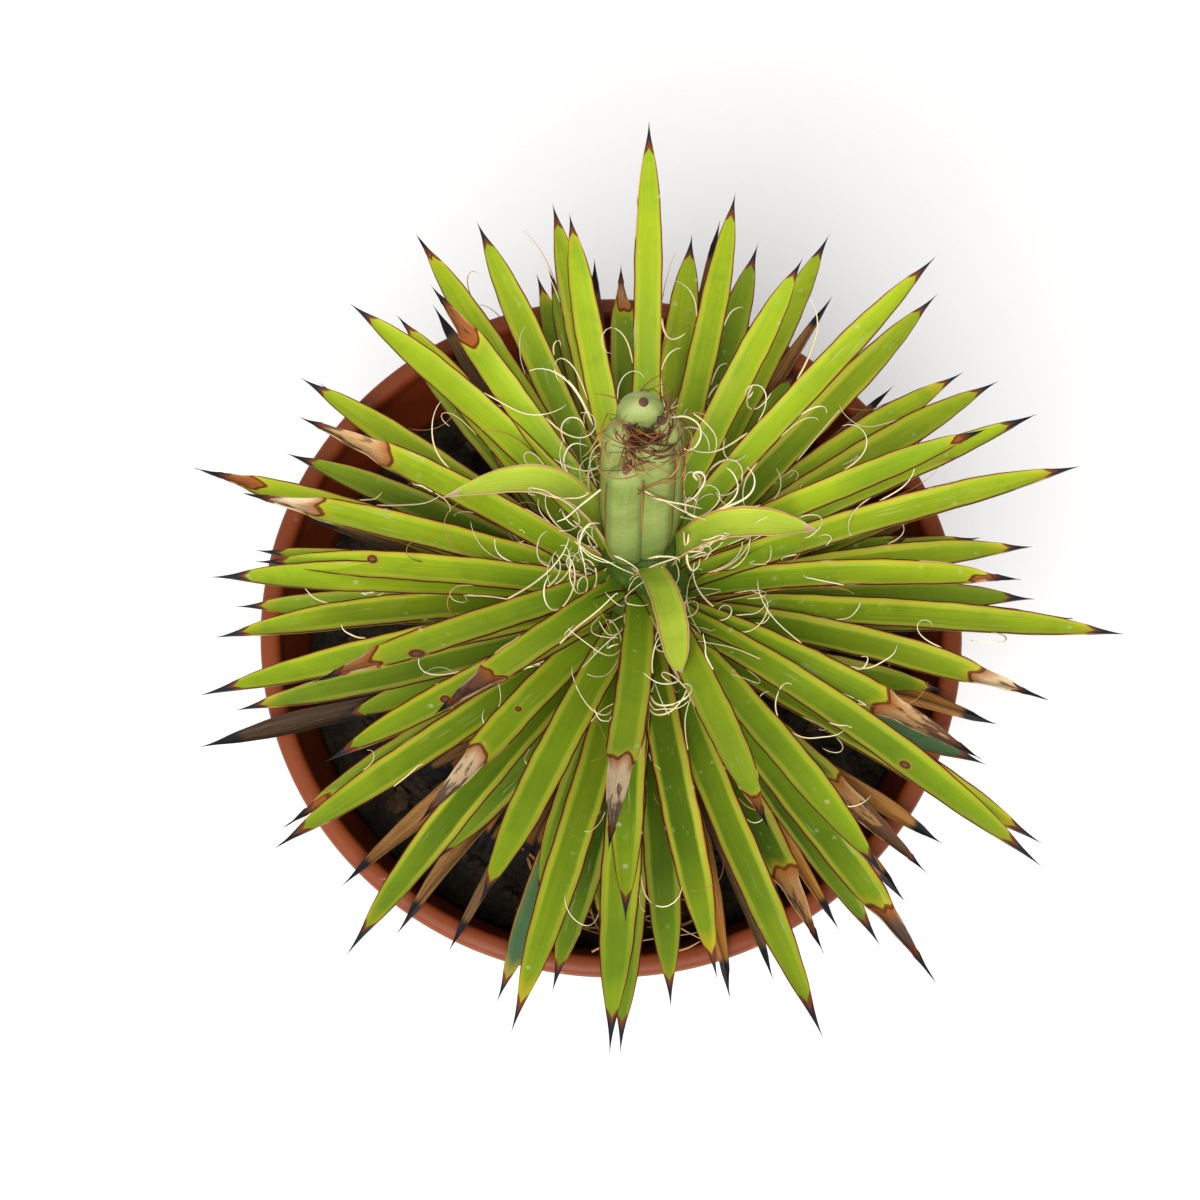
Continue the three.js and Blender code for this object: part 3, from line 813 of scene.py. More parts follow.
def half_width(u, width):
    """Half a blade's width at a share u of its length. Short of the spine it swells from the root by a
    quarter sine, keeps its width past the middle, and narrows to the spine's by a power of the share; the
    spine narrows to its point."""
    swell = np.sin(np.pi / 2 * np.minimum(u / WIDEST_AT, 1))
    full = width * (ROOT_WIDTH_SHARE + (1 - ROOT_WIDTH_SHARE) * swell)
    narrowing = np.clip((u - TAPER_START) / (SPINE_START - TAPER_START), 0, 1) ** TAPER_POWER
    past = np.clip((1 - u) / (1 - SPINE_START), 0, 1)
    return 0.5 * (full + (SPINE_WIDTH - full) * narrowing) * past**SPINE_FINENESS


def blade_frame(leaf):
    """A leaf's own upward and sideward directions."""
    direction = leaf["direction"]
    up = unit(np.array([0, 0, 1]) - direction * direction[2])
    up = turn_matrix(direction, leaf["roll"]) @ up
    return up, np.cross(direction, up)


def centre_line(leaf, u):
    """The line a blade follows: straight, bowed upwards by a half sine, swayed to one side by another."""
    up, side = blade_frame(leaf)
    arch = np.sin(np.pi * u)[..., None]
    return (leaf["root"] + leaf["direction"] * (u * leaf["length"])[..., None]
            + up * leaf["bow"] * arch + side * leaf["sway"] * arch)


def blade_points(leaf, u, turn, curl):
    """A blade's skin: round each section the angle's cosine gives the place across, and its sine tells the
    upper face, a shallow channel, from the lower, which swells to a keel. Past the start of a dried end
    the blade is thin, narrow, wrinkled and folded. Curl folds a withered blade, narrows it in waves and
    twists it."""
    up, side = blade_frame(leaf)
    across = np.cos(turn)[None, :]
    upper = np.sin(turn)[None, :] >= 0
    rows = u[:, None]
    seed = leaf["seed"]
    dry_from = leaf["dried"][0]
    dried = smooth(0, 0.05, rows - dry_from)
    half = half_width(rows, leaf["width"]) * (1 - 0.28 * dried * (rows < SPINE_START))
    half = half * (1 + 0.018 * np.sin(rows * 37 + seed) + 0.012 * np.sin(rows * 83 + 2 * seed))
    half = half * (1 + 0.4 * smooth(0.09, 0, rows))
    half = half * (1 - curl * (0.5 + 0.5 * np.sin(rows * 8 + seed)))
    past = np.clip((1 - rows) / (1 - SPINE_START), 0, 1)
    deep = np.maximum(leaf["thickness"] * (1 - THINNING * rows), SPINE_THICKNESS) * past * (1 - 0.55 * dried)
    channel = CHANNEL * 2 * half * (1 + 2.5 * dried)
    body = 1 - np.abs(across) ** 2.2
    face = BLADE_ABOVE * deep + channel * (across**2 - 0.5)
    keel = BLADE_ABOVE * deep + channel / 2 - (deep + channel) * body**0.7
    height = np.where(upper, face, keel)
    height = height + 0.10 * np.sin(rows * 21 + seed) * body * upper
    height = height + 0.12 * np.exp(-((np.abs(across) - 0.95) / 0.04) ** 2) * (rows < SPINE_START)
    height = height + curl * 2.4 * half * (across**2) * (0.4 + 0.6 * np.sin(rows * 5 + seed) ** 2)
    wrinkle = 0.16 * dried * np.sin(across * 9 + seed) * np.sin(rows * 70 + 3 * seed)
    twist = 5 * curl * (draw(seed + 3) - 0.5) * rows**1.5
    width = across * half
    aside = width * np.cos(twist) - height * np.sin(twist)
    raised = width * np.sin(twist) + height * np.cos(twist)
    bend = 1.6 * smooth(0.05, 0.35, rows - dry_from) * (draw(seed + 5) - 0.5)
    return (centre_line(leaf, u)[:, None, :] + side * aside[..., None] + up * (raised + wrinkle)[..., None]
            + side * bend[..., None])


def leaf_piece(name, finish, slot, replaced, leaves, curl=0.0):
    """One piece of many blades, each with what its finish reads and its tip drawn to a point."""
    surface = Surface()
    for leaf in leaves:
        points = to_world(blade_points(leaf, LENGTH_SHARES, BLADE_TURNS, curl))
        points[-1] = points[-1].mean(0) + (points[-1] - points[-1].mean(0)) * 0.02
        mark_at, mark_aside, mark_radius = leaf["mark"]
        surface.skin(
            points, along=(LENGTH_SHARES[:, None], np.cos(BLADE_TURNS), np.sin(BLADE_TURNS) >= -0.01),
            nature=(leaf["own"], *leaf["dried"]),
            mark=(mark_at, mark_aside, leaf["length"] / mark_radius))
    surface.piece(name, finish, slot, replaced)


# ---- Threads: pale fibres that peel off the leaf edges and curl ----

THREAD_STEPS = 14
THREAD_TURNS = turns(3)


def curl_paths(start, along, outward, lift, length, turn, tightening, rise, waver):
    """Lines that leave a point along one direction and curl towards another. The heading is the whole turn
    times a power of the share, so that they tighten to their loose end; the line is the running sum of its
    cosine along and its sine outwards, lifted by a quarter sine, and wavering by a small sine."""
    share = np.linspace(0, 1, THREAD_STEPS)[None, :]
    heading = turn[:, None] * share ** tightening[:, None]
    step = (length / (THREAD_STEPS - 1))[:, None]
    a = np.cumsum(np.cos(heading) * step, 1)
    b = np.cumsum(np.sin(heading) * step, 1)
    a, b = a - a[:, :1], b - b[:, :1]
    wave = waver[:, None] * np.sin(share * 9 + waver[:, None] * 90) * share
    c = rise[:, None] * np.sin(share * np.pi * 0.5) + wave
    return (start[:, None, :] + a[..., None] * along[:, None, :] + (b + wave)[..., None] * outward[:, None, :]
            + c[..., None] * lift[:, None, :])


def thread_piece(name, finish, paths, radius, own):
    """One piece of threads: a small ring carried along each line, tapered to its loose end. The ring stands
    on a normal and a binormal made from the line's tangent and one fixed direction per line."""
    tangent = unit(np.gradient(paths, axis=1))
    fixed = unit(np.stack([draw(own * 91 + k) - 0.5 for k in (1, 2, 3)], -1))[:, None, :]
    normal = unit(np.cross(tangent, fixed + 0 * tangent))
    binormal = np.cross(tangent, normal)
    share = np.linspace(0, 1, paths.shape[1])
    girth = radius[:, None] * (1 - 0.7 * share[None, :] ** 2) * np.minimum(1, 0.6 + 6 * share[None, :])
    ring = (np.cos(THREAD_TURNS)[None, None, :, None] * normal[:, :, None, :]
            + np.sin(THREAD_TURNS)[None, None, :, None] * binormal[:, :, None, :])
    surface = Surface()
    for points, thread_own in zip(paths[:, :, None, :] + ring * girth[:, :, None, None], own):
        surface.skin(points, along=(share[:, None], 0, 0), nature=(thread_own, 0, 0))
    surface.piece(name, finish, "leaf_dry")


def edge_points(leaves, pick, share, side_sign):
    """Points on leaf edges in world space, with each edge's direction, its outward side and its up."""
    start, along, outward, lift = [], [], [], []
    for i, u, sign in zip(pick, share, side_sign):
        leaf = leaves[i]
        up, side = blade_frame(leaf)
        half = half_width(u, leaf["width"])
        raised = BLADE_ABOVE * leaf["thickness"] * (1 - THINNING * u) + CHANNEL * half
        start.append(centre_line(leaf, u) + side * sign * half + up * raised)
        along.append(leaf["direction"])
        outward.append(side * sign)
        lift.append(up)
    return to_world(np.array(start)), *(np.array(v) @ LEAN.T for v in (along, outward, lift))


def leaf_threads(name, finish, leaves, count, seed, shares, lengths, curls, radius):
    """Threads on the edges of some leaves. Each draws its leaf, its side, its place along the edge, denser
    towards the root, its length, its curl and the way it leans up from the leaf's plane. It leaves its edge
    towards the leaf's tip or, three times in ten, its root."""
    k = np.arange(count) + seed
    d = [draw(k * 1.7 + j * 31.3) for j in range(13)]
    pick = (d[0] * len(leaves)).astype(int)
    side_sign = np.where(d[1] < 0.5, -1.0, 1.0)
    way = np.where(d[4] < 0.3, -1.0, 1.0)
    lean_out = 0.15 + 1.1 * d[5]
    start, along, outward, lift = edge_points(leaves, pick, part_way(shares, d[2] ** 1.3), side_sign)
    away = outward * np.cos(lean_out)[:, None] + lift * np.sin(lean_out)[:, None]
    first = unit(along * way[:, None] + away * 0.22)
    side = unit(away - first * (away * first).sum(1, keepdims=True))
    up = np.cross(first, side)
    up = up * np.sign((up * lift).sum(1, keepdims=True))
    paths = curl_paths(
        start, first, side, up, part_way(lengths, d[3] ** 1.4), part_way(curls, d[7] ** 1.5), 1 + 1.6 * d[8],
        2.2 * (d[9] - 0.3), 0.35 * d[12])
    thread_piece(name, finish, paths, radius * (0.6 + 0.7 * d[10]), d[11])


# ---- Bud: blunt young leaves pressed together round the stem's axis ----

# Each leaf of the bud: its place across and back from the stem's axis, its height, half its width and half
# its thickness. The first fills the middle.
BUD_LEAVES = [
    [-0.6, 0, 27.5, 3.9, 3.6], [-3.2, -3.5, 24.8, 2.8, 2.2], [1, -2.3, 29.2, 3, 2.3],
    [-4.4, 0.4, 30.2, 2.4, 2.7], [3.3, 0.7, 31.2, 2.2, 2.6], [-1.4, 2.6, BUD_HEIGHT, 3.2, 2.5],
]
BUD_DOME = 3.0
BUD_NOD = 0.7
BUD_NOD_DEPTH = 9
BUD_MARGIN = 0.22
BUD_SQUARENESS = 0.88       # the power of a section's sine and cosine; 1 would make it an ellipse
BUD_SPINE_LENGTH = 2.3
BUD_SPINE_GIRTH = 0.95


def bud_leaf_skin(across, back, height, half, thick, seed):
    """A young leaf: sections a little squarer than an ellipse, carried straight up, closed by a dome. Each
    section stands away from the axis by a share that grows by a quarter sine above the foot. A low ridge
    runs up both margins, and the top leans in to the axis. Returns its points and what they keep."""
    low = np.linspace(0, height - BUD_DOME, 34)
    top = height - BUD_DOME + BUD_DOME * np.sin(np.linspace(0, np.pi / 2, 15))[1:]
    z = np.concatenate([low, top])[:, None]
    dome = np.clip((z - height + BUD_DOME) / BUD_DOME, 0, 1)
    opening = np.sqrt(1 - dome**2 * 0.9998)
    turn = turns(64)[None, :]
    side, depth = np.cos(turn), np.sin(turn)
    margin = BUD_MARGIN * np.exp(-((depth / 0.15) ** 2)) * np.sign(side)
    x = across + (half * np.sign(side) * np.abs(side) ** BUD_SQUARENESS + margin) * opening
    y = back + thick * np.sign(depth) * np.abs(depth) ** BUD_SQUARENESS * opening
    risen = np.sin(np.pi / 2 * np.minimum(z / (BUD_FULL_AT * height), 1))
    foot = BUD_FOOT_SHARE + (1 - BUD_FOOT_SHARE) * risen
    away = unit([across, back, 1e-3])
    nod = BUD_NOD * smooth(height - BUD_NOD_DEPTH, height, z)
    wave = 0.04 * np.sin(0.55 * z + seed + side) + 0.02 * np.sin(1.3 * z + 2 * seed)
    x = x * foot - nod * away[0] + wave
    y = y * foot - nod * away[1] + 0.5 * wave
    return joined(x, y, CROWN + GAP + z), (z / height, side, depth)


def bud_spine_skin(across, back, height):
    """The soft spine of a young leaf: a small cone on the inner side of the dome that leans to the axis."""
    share = np.linspace(0, 1, 8)[:, None]
    turn = turns(16)[None, :]
    inward = -unit([across, back, 1e-3])
    way = unit(inward * 0.45 + (0, 0, 0.9))
    one = unit(np.cross(way, (0, 0, 1)))
    other = np.cross(one, way)
    girth = (BUD_SPINE_GIRTH * (1 - share**1.3))[..., None]
    inset = 1.1 if back > -3 else 0.2
    centre = np.array([across, back, CROWN + GAP + height - 0.9]) + inward * inset
    points = (centre + way * (BUD_SPINE_LENGTH * share)[..., None]
              + girth * (np.cos(turn)[..., None] * one + np.sin(turn)[..., None] * other))
    return points, (1.7 + share, 0, 0)


def make_bud(finish):
    """The bud: its young leaves, and a spine on each but the middle one."""
    surface = Surface()
    skins = [bud_leaf_skin(*leaf, seed=i * 1.9) for i, leaf in enumerate(BUD_LEAVES)]
    skins += [bud_spine_skin(*leaf[:3]) for leaf in BUD_LEAVES[1:]]
    for i, (points, along) in enumerate(skins):
        surface.skin(to_world(points), along=along, nature=(draw(i + 880), 0, 0))
    surface.piece("bud_leaves", finish, "bud", ["bud"])


def bud_fibres(name, finish, count, seed, reaches, heights, lengths, radius):
    """Fibres that lie round the bud: each starts at a drawn height, heading and distance from the axis and
    runs round it and away in a loose arc."""
    k = np.arange(count) + seed
    d = [draw(k * 2.3 + j * 17.9) for j in range(11)]
    heading = 2 * np.pi * d[0]
    radial = joined(np.cos(heading), np.sin(heading), 0)
    round_bud = joined(-np.sin(heading), np.cos(heading), 0)
    up = np.array([0, 0, 1.0])
    start = radial * part_way(reaches, d[2])[:, None] + up * (CROWN + part_way(heights, d[1]))[:, None]
    way = np.where(d[3] < 0.5, -1.0, 1.0)[:, None]
    along = unit(round_bud * way + radial * (0.5 * d[4])[:, None] + up * (d[5] - 0.45)[:, None] * 1.2)
    side = unit(-radial * (0.4 + d[6])[:, None] + up * (d[7] - 0.5)[:, None])
    side = unit(side - along * (side * along).sum(1, keepdims=True))
    lift = np.cross(along, side)
    world = [to_world(start), *(v @ LEAN.T for v in (along, side, lift))]
    paths = curl_paths(
        *world, part_way(lengths, d[8]), 0.8 + 2.6 * d[9], 0.8 + d[10], 1.5 * (d[4] - 0.5), 0.3 * d[10])
    thread_piece(name, finish, paths, radius * (0.7 + 0.6 * d[6]), d[7])


# ---- Ribbons and roots along listed lines: points in the plant's own frame, in mm ----

CREAM_RIBBONS = [
    [[3.2, 0.5, 75], [5.2, 0.3, 75.5], [7, 0, 74.3], [7.6, -0.3, 72], [7, -0.8, 70], [6, -1, 69.2],
     [5.2, -1, 69.6]],
    [[6.3, 1, 75.4], [8.1, 0.8, 73.5], [9.6, 0.5, 71.1], [10, 0.2, 69], [9.8, 0, 67.2]],
    [[-0.4, -5, 64.6], [1.3, -5.4, 63.4], [3.2, -5, 61.9], [6, -4, 59.5], [8.5, -3, 57]],
    [[1.3, -5.2, 63.2], [3, -4.9, 61.5], [4.7, -4.5, 59.3], [7, -3.5, 56], [9.5, -2.5, 53]],
    [[-6.2, 0, 58.5], [-8.3, -0.5, 56.3], [-10.2, -1, 54.4], [-12, -1.5, 52.4], [-13.5, -2, 52]],
    [[-6.8, -1, 50], [-8.4, -2, 51.4], [-9.6, -3, 50.5], [-10, -4, 48.5], [-9.4, -5.5, 46], [-9, -7, 43.4]],
    [[-10.8, -2, 46.5], [-9.6, -2.5, 45.5], [-8.2, -3.5, 45], [-5.8, -4.5, 44.6], [-3.8, -5.5, 44.2],
     [-1.6, -6.5, 44]],
    [[6.1, -1, 47.5], [6.5, -2, 45.1], [8.3, -2, 44.4], [10.3, -2, 45.5], [11, -1.5, 46.8]],
    [[6.9, -1, 47], [6.7, -3.5, 43.8], [7.5, -4.5, 42], [8.5, -4, 42.2], [8.8, -3, 43]],
    [[7.6, -1, 61.5], [6.9, -1, 63.3], [8, -1, 63.6], [8.7, -1, 61.5], [7.6, -1, 57.8], [6.2, -1, 55.7]],
    [[-5.5, -3, 46], [-4.5, -5, 47], [-3, -5.6, 46.5], [-1.5, -5.8, 45], [-0.8, -6, 44]],
    [[0.5, -5.2, 46.5], [2, -5.4, 47.4], [4, -4.9, 46.6], [5.2, -4.2, 45], [5.6, -4, 43.5]],
]
RUST_RIBBONS = [
    [[-0.7, 0.3, 74.8], [-4.1, 0.3, 74.2], [-6.2, 0.2, 72.8], [-7.5, 0, 70], [-8.5, -0.3, 67.9],
     [-9.6, -0.5, 66.6]],
    [[-1, -3.9, 69.8], [-3.7, -4.4, 69], [-6.3, -2.4, 66], [-7.9, -1, 62.7], [-9.8, -1, 61.1]],
    [[-3.5, -3, 71.2], [-0.7, -4.5, 70.8], [1.5, -4.8, 69.8], [3.6, -4.2, 67]],
    [[-1.4, -5.3, 64], [-0.3, -5.2, 65.6], [1.6, -5, 66.5], [3.8, -4.3, 66.1], [5.2, -2.6, 65.4],
     [5.6, -2, 67.9], [4.6, -1.5, 70.4]],
    [[4.9, -0.5, 71], [5.7, -0.3, 66], [5.6, 0, 60], [6, 0, 56]],
    [[3.5, -2.8, 72], [4.6, -3, 69], [3.2, -4.6, 67.5], [1.2, -5, 66.8]],
    [[4.5, 0.5, 75], [6.5, 0.8, 75.8], [8, 1, 75], [9, 1, 73.6]],
    [[-3, 0, 74.6], [-1, -1.5, 74.2], [1, -2, 73.6], [2.8, -1.2, 75]],
    [[-0.6, -4.6, 66.5], [-0.65, -4.6, 60], [-0.6, -4.4, 53], [-0.5, -3.9, 47]],
]
# Loose roots that cross over the lower leaves at the front
LOOSE_ROOTS = [
    [[1.2, -48.9, 10.9], [3.3, -50.1, 10.6], [6.4, -51.9, 10], [9.7, -53.6, 9.6]],
    [[-0.6, -53.6, 9.6], [2.6, -53.1, 9.8], [6.1, -52.7, 9.9], [9, -52.2, 9.9]],
    [[-8.2, -55.2, 9.1], [-6.9, -54.6, 9.4], [-5.5, -54.3, 9.4]],
    [[5, -55.1, 9.2], [7, -54.6, 9.4], [9, -53.6, 9.6]],
]
RIBBON_STEPS = 26


def smooth_line(points):
    """A line through points: between two of them, the third-degree curve whose slope at each is half the way
    from the point before to the point after."""
    points = np.array(points, float)
    ends = np.vstack([2 * points[0] - points[1], points, 2 * points[-1] - points[-2]])
    slope = (ends[2:] - ends[:-2]) / 2
    at = np.linspace(0, len(points) - 1 - 1e-9, RIBBON_STEPS)
    i = at.astype(int)
    t = (at - i)[:, None]
    return ((1 + 2 * t) * (1 - t) ** 2 * points[i] + t * (1 - t) ** 2 * slope[i]
            + t**2 * (3 - 2 * t) * points[i + 1] + t**2 * (t - 1) * slope[i + 1])


def ribbons(name, finish, lines, radius):
    """Ribbons or roots along such lines, each of a thickness of its own."""
    paths = to_world(np.stack([smooth_line(line) for line in lines]))
    own = draw(np.arange(len(lines)) + 650.0)
    thread_piece(name, finish, paths, radius * (0.75 + 0.5 * own), own)


# ---- Stem, soil, roots and pot ----

LEAF_BASE_ROW = 2.4         # height of one row of leaf bases on the stem
LEAF_BASE_RISE = 0.6
SOIL_RISE = 1.1
SOIL_CLEARANCE = 0.6        # between the soil's side and the pot's wall
FRONT_ROOTS = 12
DRILL_PAST = 2              # how far the drain holes' cutters stand past the floor


def make_stem(finish):
    """The stem between the leaves: a round bar that narrows to the crown as a cone, whose radius swells in
    rows of leaf bases, each row turned by the golden angle."""
    z = np.linspace(-STEM_DEPTH, CROWN - 0.1, 90)[:, None]
    turn = turns(96)[None, :]
    row = np.floor(z / LEAF_BASE_ROW)
    within = z / LEAF_BASE_ROW - row
    scale = np.abs(np.sin(2.5 * turn + row * math.radians(GOLDEN_ANGLE)))
    cone = np.clip((z - CROWN_FOOT) / (CROWN - CROWN_FOOT), 0, 1)
    radius = STEM_RADIUS + (CROWN_RADIUS - STEM_RADIUS) * cone
    radius = radius - LEAF_BASE_RISE + LEAF_BASE_RISE * scale * (1 - within**2)
    surface = Surface()
    surface.skin(
        to_world(turned(radius, turn, z)), along=(0.04, 0.4 * scale, 1), nature=(0.5, *NOT_DRIED),
        mark=NO_MARK)
    surface.piece("stem", finish, "leaf_bright")


def inner_radius(z):
    """Inside radius of the pot: it opens evenly from the floor to the lip."""
    share = (z - FLOOR_THICKNESS) / (POT_HEIGHT - LIP_HEIGHT - FLOOR_THICKNESS)
    return BASE_RADIUS - WALL + share * (RIM_RADIUS - LIP_WIDTH - BASE_RADIUS + WALL)


def soil_lump(x, y):
    """The soil's rise and fall: a product of two slow waves and one faster wave across them."""
    return SOIL_RISE * (np.sin(0.31 * x + 1.3) * np.cos(0.27 * y) + 0.6 * np.sin(0.53 * x - 0.61 * y))


def make_soil(finish):
    """The soil: a disc with the slow lumps and finer crumbly waves over them, and its side and underside
    inside the pot."""
    turn = turns(360)[None, :]
    radius = np.linspace(0.15, inner_radius(SOIL_LEVEL) - 0.4, 130)[:, None]
    x, y = radius * np.cos(turn), radius * np.sin(turn)
    fine = 0
    for k in range(5):
        way, pitch = 2 * np.pi * draw(k + 40), 1.1 + 0.35 * k
        fine = fine + 0.16 * np.sin(pitch * (x * np.cos(way) + y * np.sin(way)) + 7 * draw(k + 50)
                                    + 1.7 * np.sin(0.8 * x + k) + 1.3 * np.sin(0.9 * y - k))
    top = joined(x, y, SOIL_LEVEL + soil_lump(x, y) + fine - 0.2)
    low = FLOOR_THICKNESS + 0.5
    side_z = np.linspace(SOIL_LEVEL - 2.5, low, 12)[:, None]
    side = turned(inner_radius(side_z) - SOIL_CLEARANCE, turn, side_z)
    under_radius = np.linspace(inner_radius(low) - SOIL_CLEARANCE, 0.2, 14)[1:, None]
    surface = Surface()
    surface.skin(np.concatenate([turned(under_radius, turn, low)[::-1], side[::-1], top[::-1]]))
    surface.piece("soil_bed", finish, "soil", ["soil"])


def make_crumbs(name, finish, count, seed, size, inner, outer):
    """Crumbs on the soil between two radii: small closed lumps, a ball of few faces with its radius shaken
    by a draw, flattened and turned."""
    surface = Surface()
    lat = np.linspace(0.35, np.pi - 0.35, 4)[:, None]
    ball = turned(np.sin(lat), turns(6)[None, :], np.cos(lat))[::-1]
    shakes = np.arange(24).reshape(4, 6) * 1.3
    for k in range(count):
        d = [float(draw(seed + k * 3.1 + j * 11.7)) for j in range(8)]
        reach = math.sqrt(inner**2 + (outer**2 - inner**2) * d[0])
        x, y = reach * math.cos(2 * math.pi * d[1]), reach * math.sin(2 * math.pi * d[1])
        shake = 1 + 0.5 * (draw(seed + k + shakes) - 0.5)
        girth = part_way(size, d[2] ** 2)
        stretch = np.array([1, 0.6 + 0.5 * d[3], 0.45 + 0.4 * d[4]])
        turn = turn_matrix((d[5] - 0.5, d[6] - 0.5, 1), 6.28 * d[7])
        body = (ball * shake[..., None] * stretch * girth) @ turn.T
        surface.skin(body + (x, y, SOIL_LEVEL + soil_lump(x, y) + 0.25 * girth))
    surface.piece(name, finish, "soil", shade_smooth=False)


def make_roots(finish):
    """Thin dry roots over the soil: straight runs, bent aside by a sine and raised in their middle by a
    squared sine, and kept inside the pot. The first ones lie at the front."""
    k = np.arange(26)
    d = [draw((k + 60) * 1.9 + j * 23.1) for j in range(9)]
    front = k < FRONT_ROOTS
    heading = np.where(front, math.radians(-88) + 0.5 * (d[0] - 0.5), 2 * np.pi * d[0])
    reach = np.where(front, 43 + 6 * d[1], 30 + 18 * d[1])
    way = heading + np.pi / 2 + 1.6 * (d[3] - 0.5)
    share = np.linspace(0, 1, THREAD_STEPS)[None, :]
    run = (share - 0.5) * (10 + 16 * d[2])[:, None]
    aside = (1.5 + 2 * d[4])[:, None] * np.sin(4 * share + 6 * d[5][:, None])
    x = (reach * np.cos(heading))[:, None] + run * np.cos(way)[:, None] - aside * np.sin(way)[:, None]
    y = (reach * np.sin(heading))[:, None] + run * np.sin(way)[:, None] + aside * np.cos(way)[:, None]
    furthest = inner_radius(SOIL_LEVEL) - 1.5
    limit = furthest / np.maximum(np.hypot(x, y), furthest)
    x, y = x * limit, y * limit
    z = SOIL_LEVEL + soil_lump(x, y) + 0.3 + (0.6 + 1.6 * d[6])[:, None] * np.sin(np.pi * share) ** 2
    thread_piece("roots", finish, joined(x, y, z), 0.22 + 0.2 * d[7], d[8])


def pot_profile():
    """The pot's wall, from the middle of its underside out, up, over the lip and down inside to the middle
    of its floor, as corners: radius, height, and how far from the corner its bend starts and ends."""
    step_low = POT_HEIGHT - COLLAR_DEPTH
    lip_low = POT_HEIGHT - LIP_HEIGHT
    body_top = inner_radius(step_low) + WALL
    bead = LIP_WIDTH / 2 * 0.95
    return [
        (0.0, 0.0, 0), (BASE_RADIUS - 6, 0.0, 0), (BASE_RADIUS, 0.0, 1.5), (body_top, step_low + 0.2, 0.7),
        (body_top + COLLAR_STEP, step_low + 1.2, 0.9),
        (RIM_RADIUS - LIP_OVERHANG, lip_low - 0.4, 0.5), (RIM_RADIUS, lip_low, 0.6),
        (RIM_RADIUS, POT_HEIGHT, bead), (RIM_RADIUS - LIP_WIDTH, POT_HEIGHT, bead),
        (inner_radius(lip_low) - 0.05, lip_low - 1, 0.8),
        (inner_radius(FLOOR_THICKNESS), FLOOR_THICKNESS, 1.5), (0.0, FLOOR_THICKNESS, 0),
    ]


def rounded(corners):
    """An outline with each corner that has a radius replaced by a curve of the second degree, which starts
    and ends at that distance from the corner. Long straight stretches are divided evenly."""
    bends = []
    for i, (r, z, size) in enumerate(corners):
        here = np.array([r, z])
        if not size:
            bends.append(here[None])
            continue
        before = unit(np.array(corners[i - 1][:2]) - here) * size
        after = unit(np.array(corners[i + 1][:2]) - here) * size
        t = np.linspace(0, 1, 7)[:, None]
        bends.append((1 - t) ** 2 * (here + before) + 2 * t * (1 - t) * here + t**2 * (here + after))
    line = [bends[0]]
    for before, bend in zip(bends, bends[1:]):
        start, end = before[-1], bend[0]
        parts = max(int(np.linalg.norm(end - start) / 4), 1)
        t = np.linspace(0, 1, parts + 1)[1:-1, None]
        line += [start + (end - start) * t, bend]
    return np.vstack(line)


def cut(piece, cutter):
    """Takes the cutter's shape out of a piece for good, and removes the cutter."""
    modifier = piece.modifiers.new("cut", "BOOLEAN")
    modifier.operation = "DIFFERENCE"
    modifier.solver = "EXACT"
    modifier.object = cutter
    whole = piece.data
    piece.data = bpy.data.meshes.new_from_object(piece.evaluated_get(bpy.context.evaluated_depsgraph_get()))
    piece.modifiers.clear()
    bpy.data.meshes.remove(whole)
    bpy.data.objects.remove(cutter)


def make_pot(finish):
    """The pot: its outline turned round the axis, with the holes in its floor cut through."""
    line = rounded(pot_profile())
    line[0, 0] = line[-1, 0] = 0.01
    surface = Surface()
    surface.skin(turned(line[:, :1], turns(256), line[:, 1:]))
    pot = surface.piece("pot_shell", finish, "pot", ["pot"])
    holes = Surface()
    for at in turns(DRAIN_HOLES):
        ring = turned(DRAIN_RADIUS, turns(48), 0) + turned(DRAIN_CIRCLE, at, 0)
        holes.skin(np.stack([ring + (0, 0, -DRILL_PAST), ring + (0, 0, FLOOR_THICKNESS + DRILL_PAST)]))
    cut(pot, holes.solid("drain_holes"))
    pot.data.set_sharp_from_angle(angle=math.radians(50))


# ---- Assembly ----

LEAF_STRIPE = (0.53, 0.50, 0.050)
# Green finishes: {name: (bright, deep, stripe, how strong the stripes are)}
LEAF_GREENS = {
    "inner_leaf_green": ((0.345, 0.455, 0.011), (0.115, 0.24, 0.009), LEAF_STRIPE, 0.55),
    "leaf_bright_green": ((0.335, 0.44, 0.011), (0.09, 0.205, 0.008), LEAF_STRIPE, 0.85),
    "outer_leaf_green": ((0.32, 0.41, 0.012), (0.075, 0.17, 0.008), LEAF_STRIPE, 0.95),
    "leaf_deep_green": ((0.22, 0.32, 0.013), (0.045, 0.105, 0.009), (0.44, 0.42, 0.06), 0.9),
    "leaf_blue_green": ((0.085, 0.165, 0.065), (0.035, 0.085, 0.038), (0.25, 0.30, 0.09), 0.4),
    "stem_green": ((0.085, 0.15, 0.018), (0.045, 0.09, 0.011), LEAF_STRIPE, 0),
}
BLUE_HEADINGS = (-110, -23)     # the two bluish leaves of the oldest ring

green = {name: leaf_finish(name, *colours) for name, colours in LEAF_GREENS.items()}
grown = {name: ring_leaves(name) for name in RINGS}
heart, middle, outer = grown["heart"], grown["middle"], grown["outer"]
blue = [leaf for leaf in grown["oldest"] if leaf["heading"] in BLUE_HEADINGS]
lower = grown["old"] + [leaf for leaf in grown["oldest"] if leaf["heading"] not in BLUE_HEADINGS]
lower += hidden_leaves()

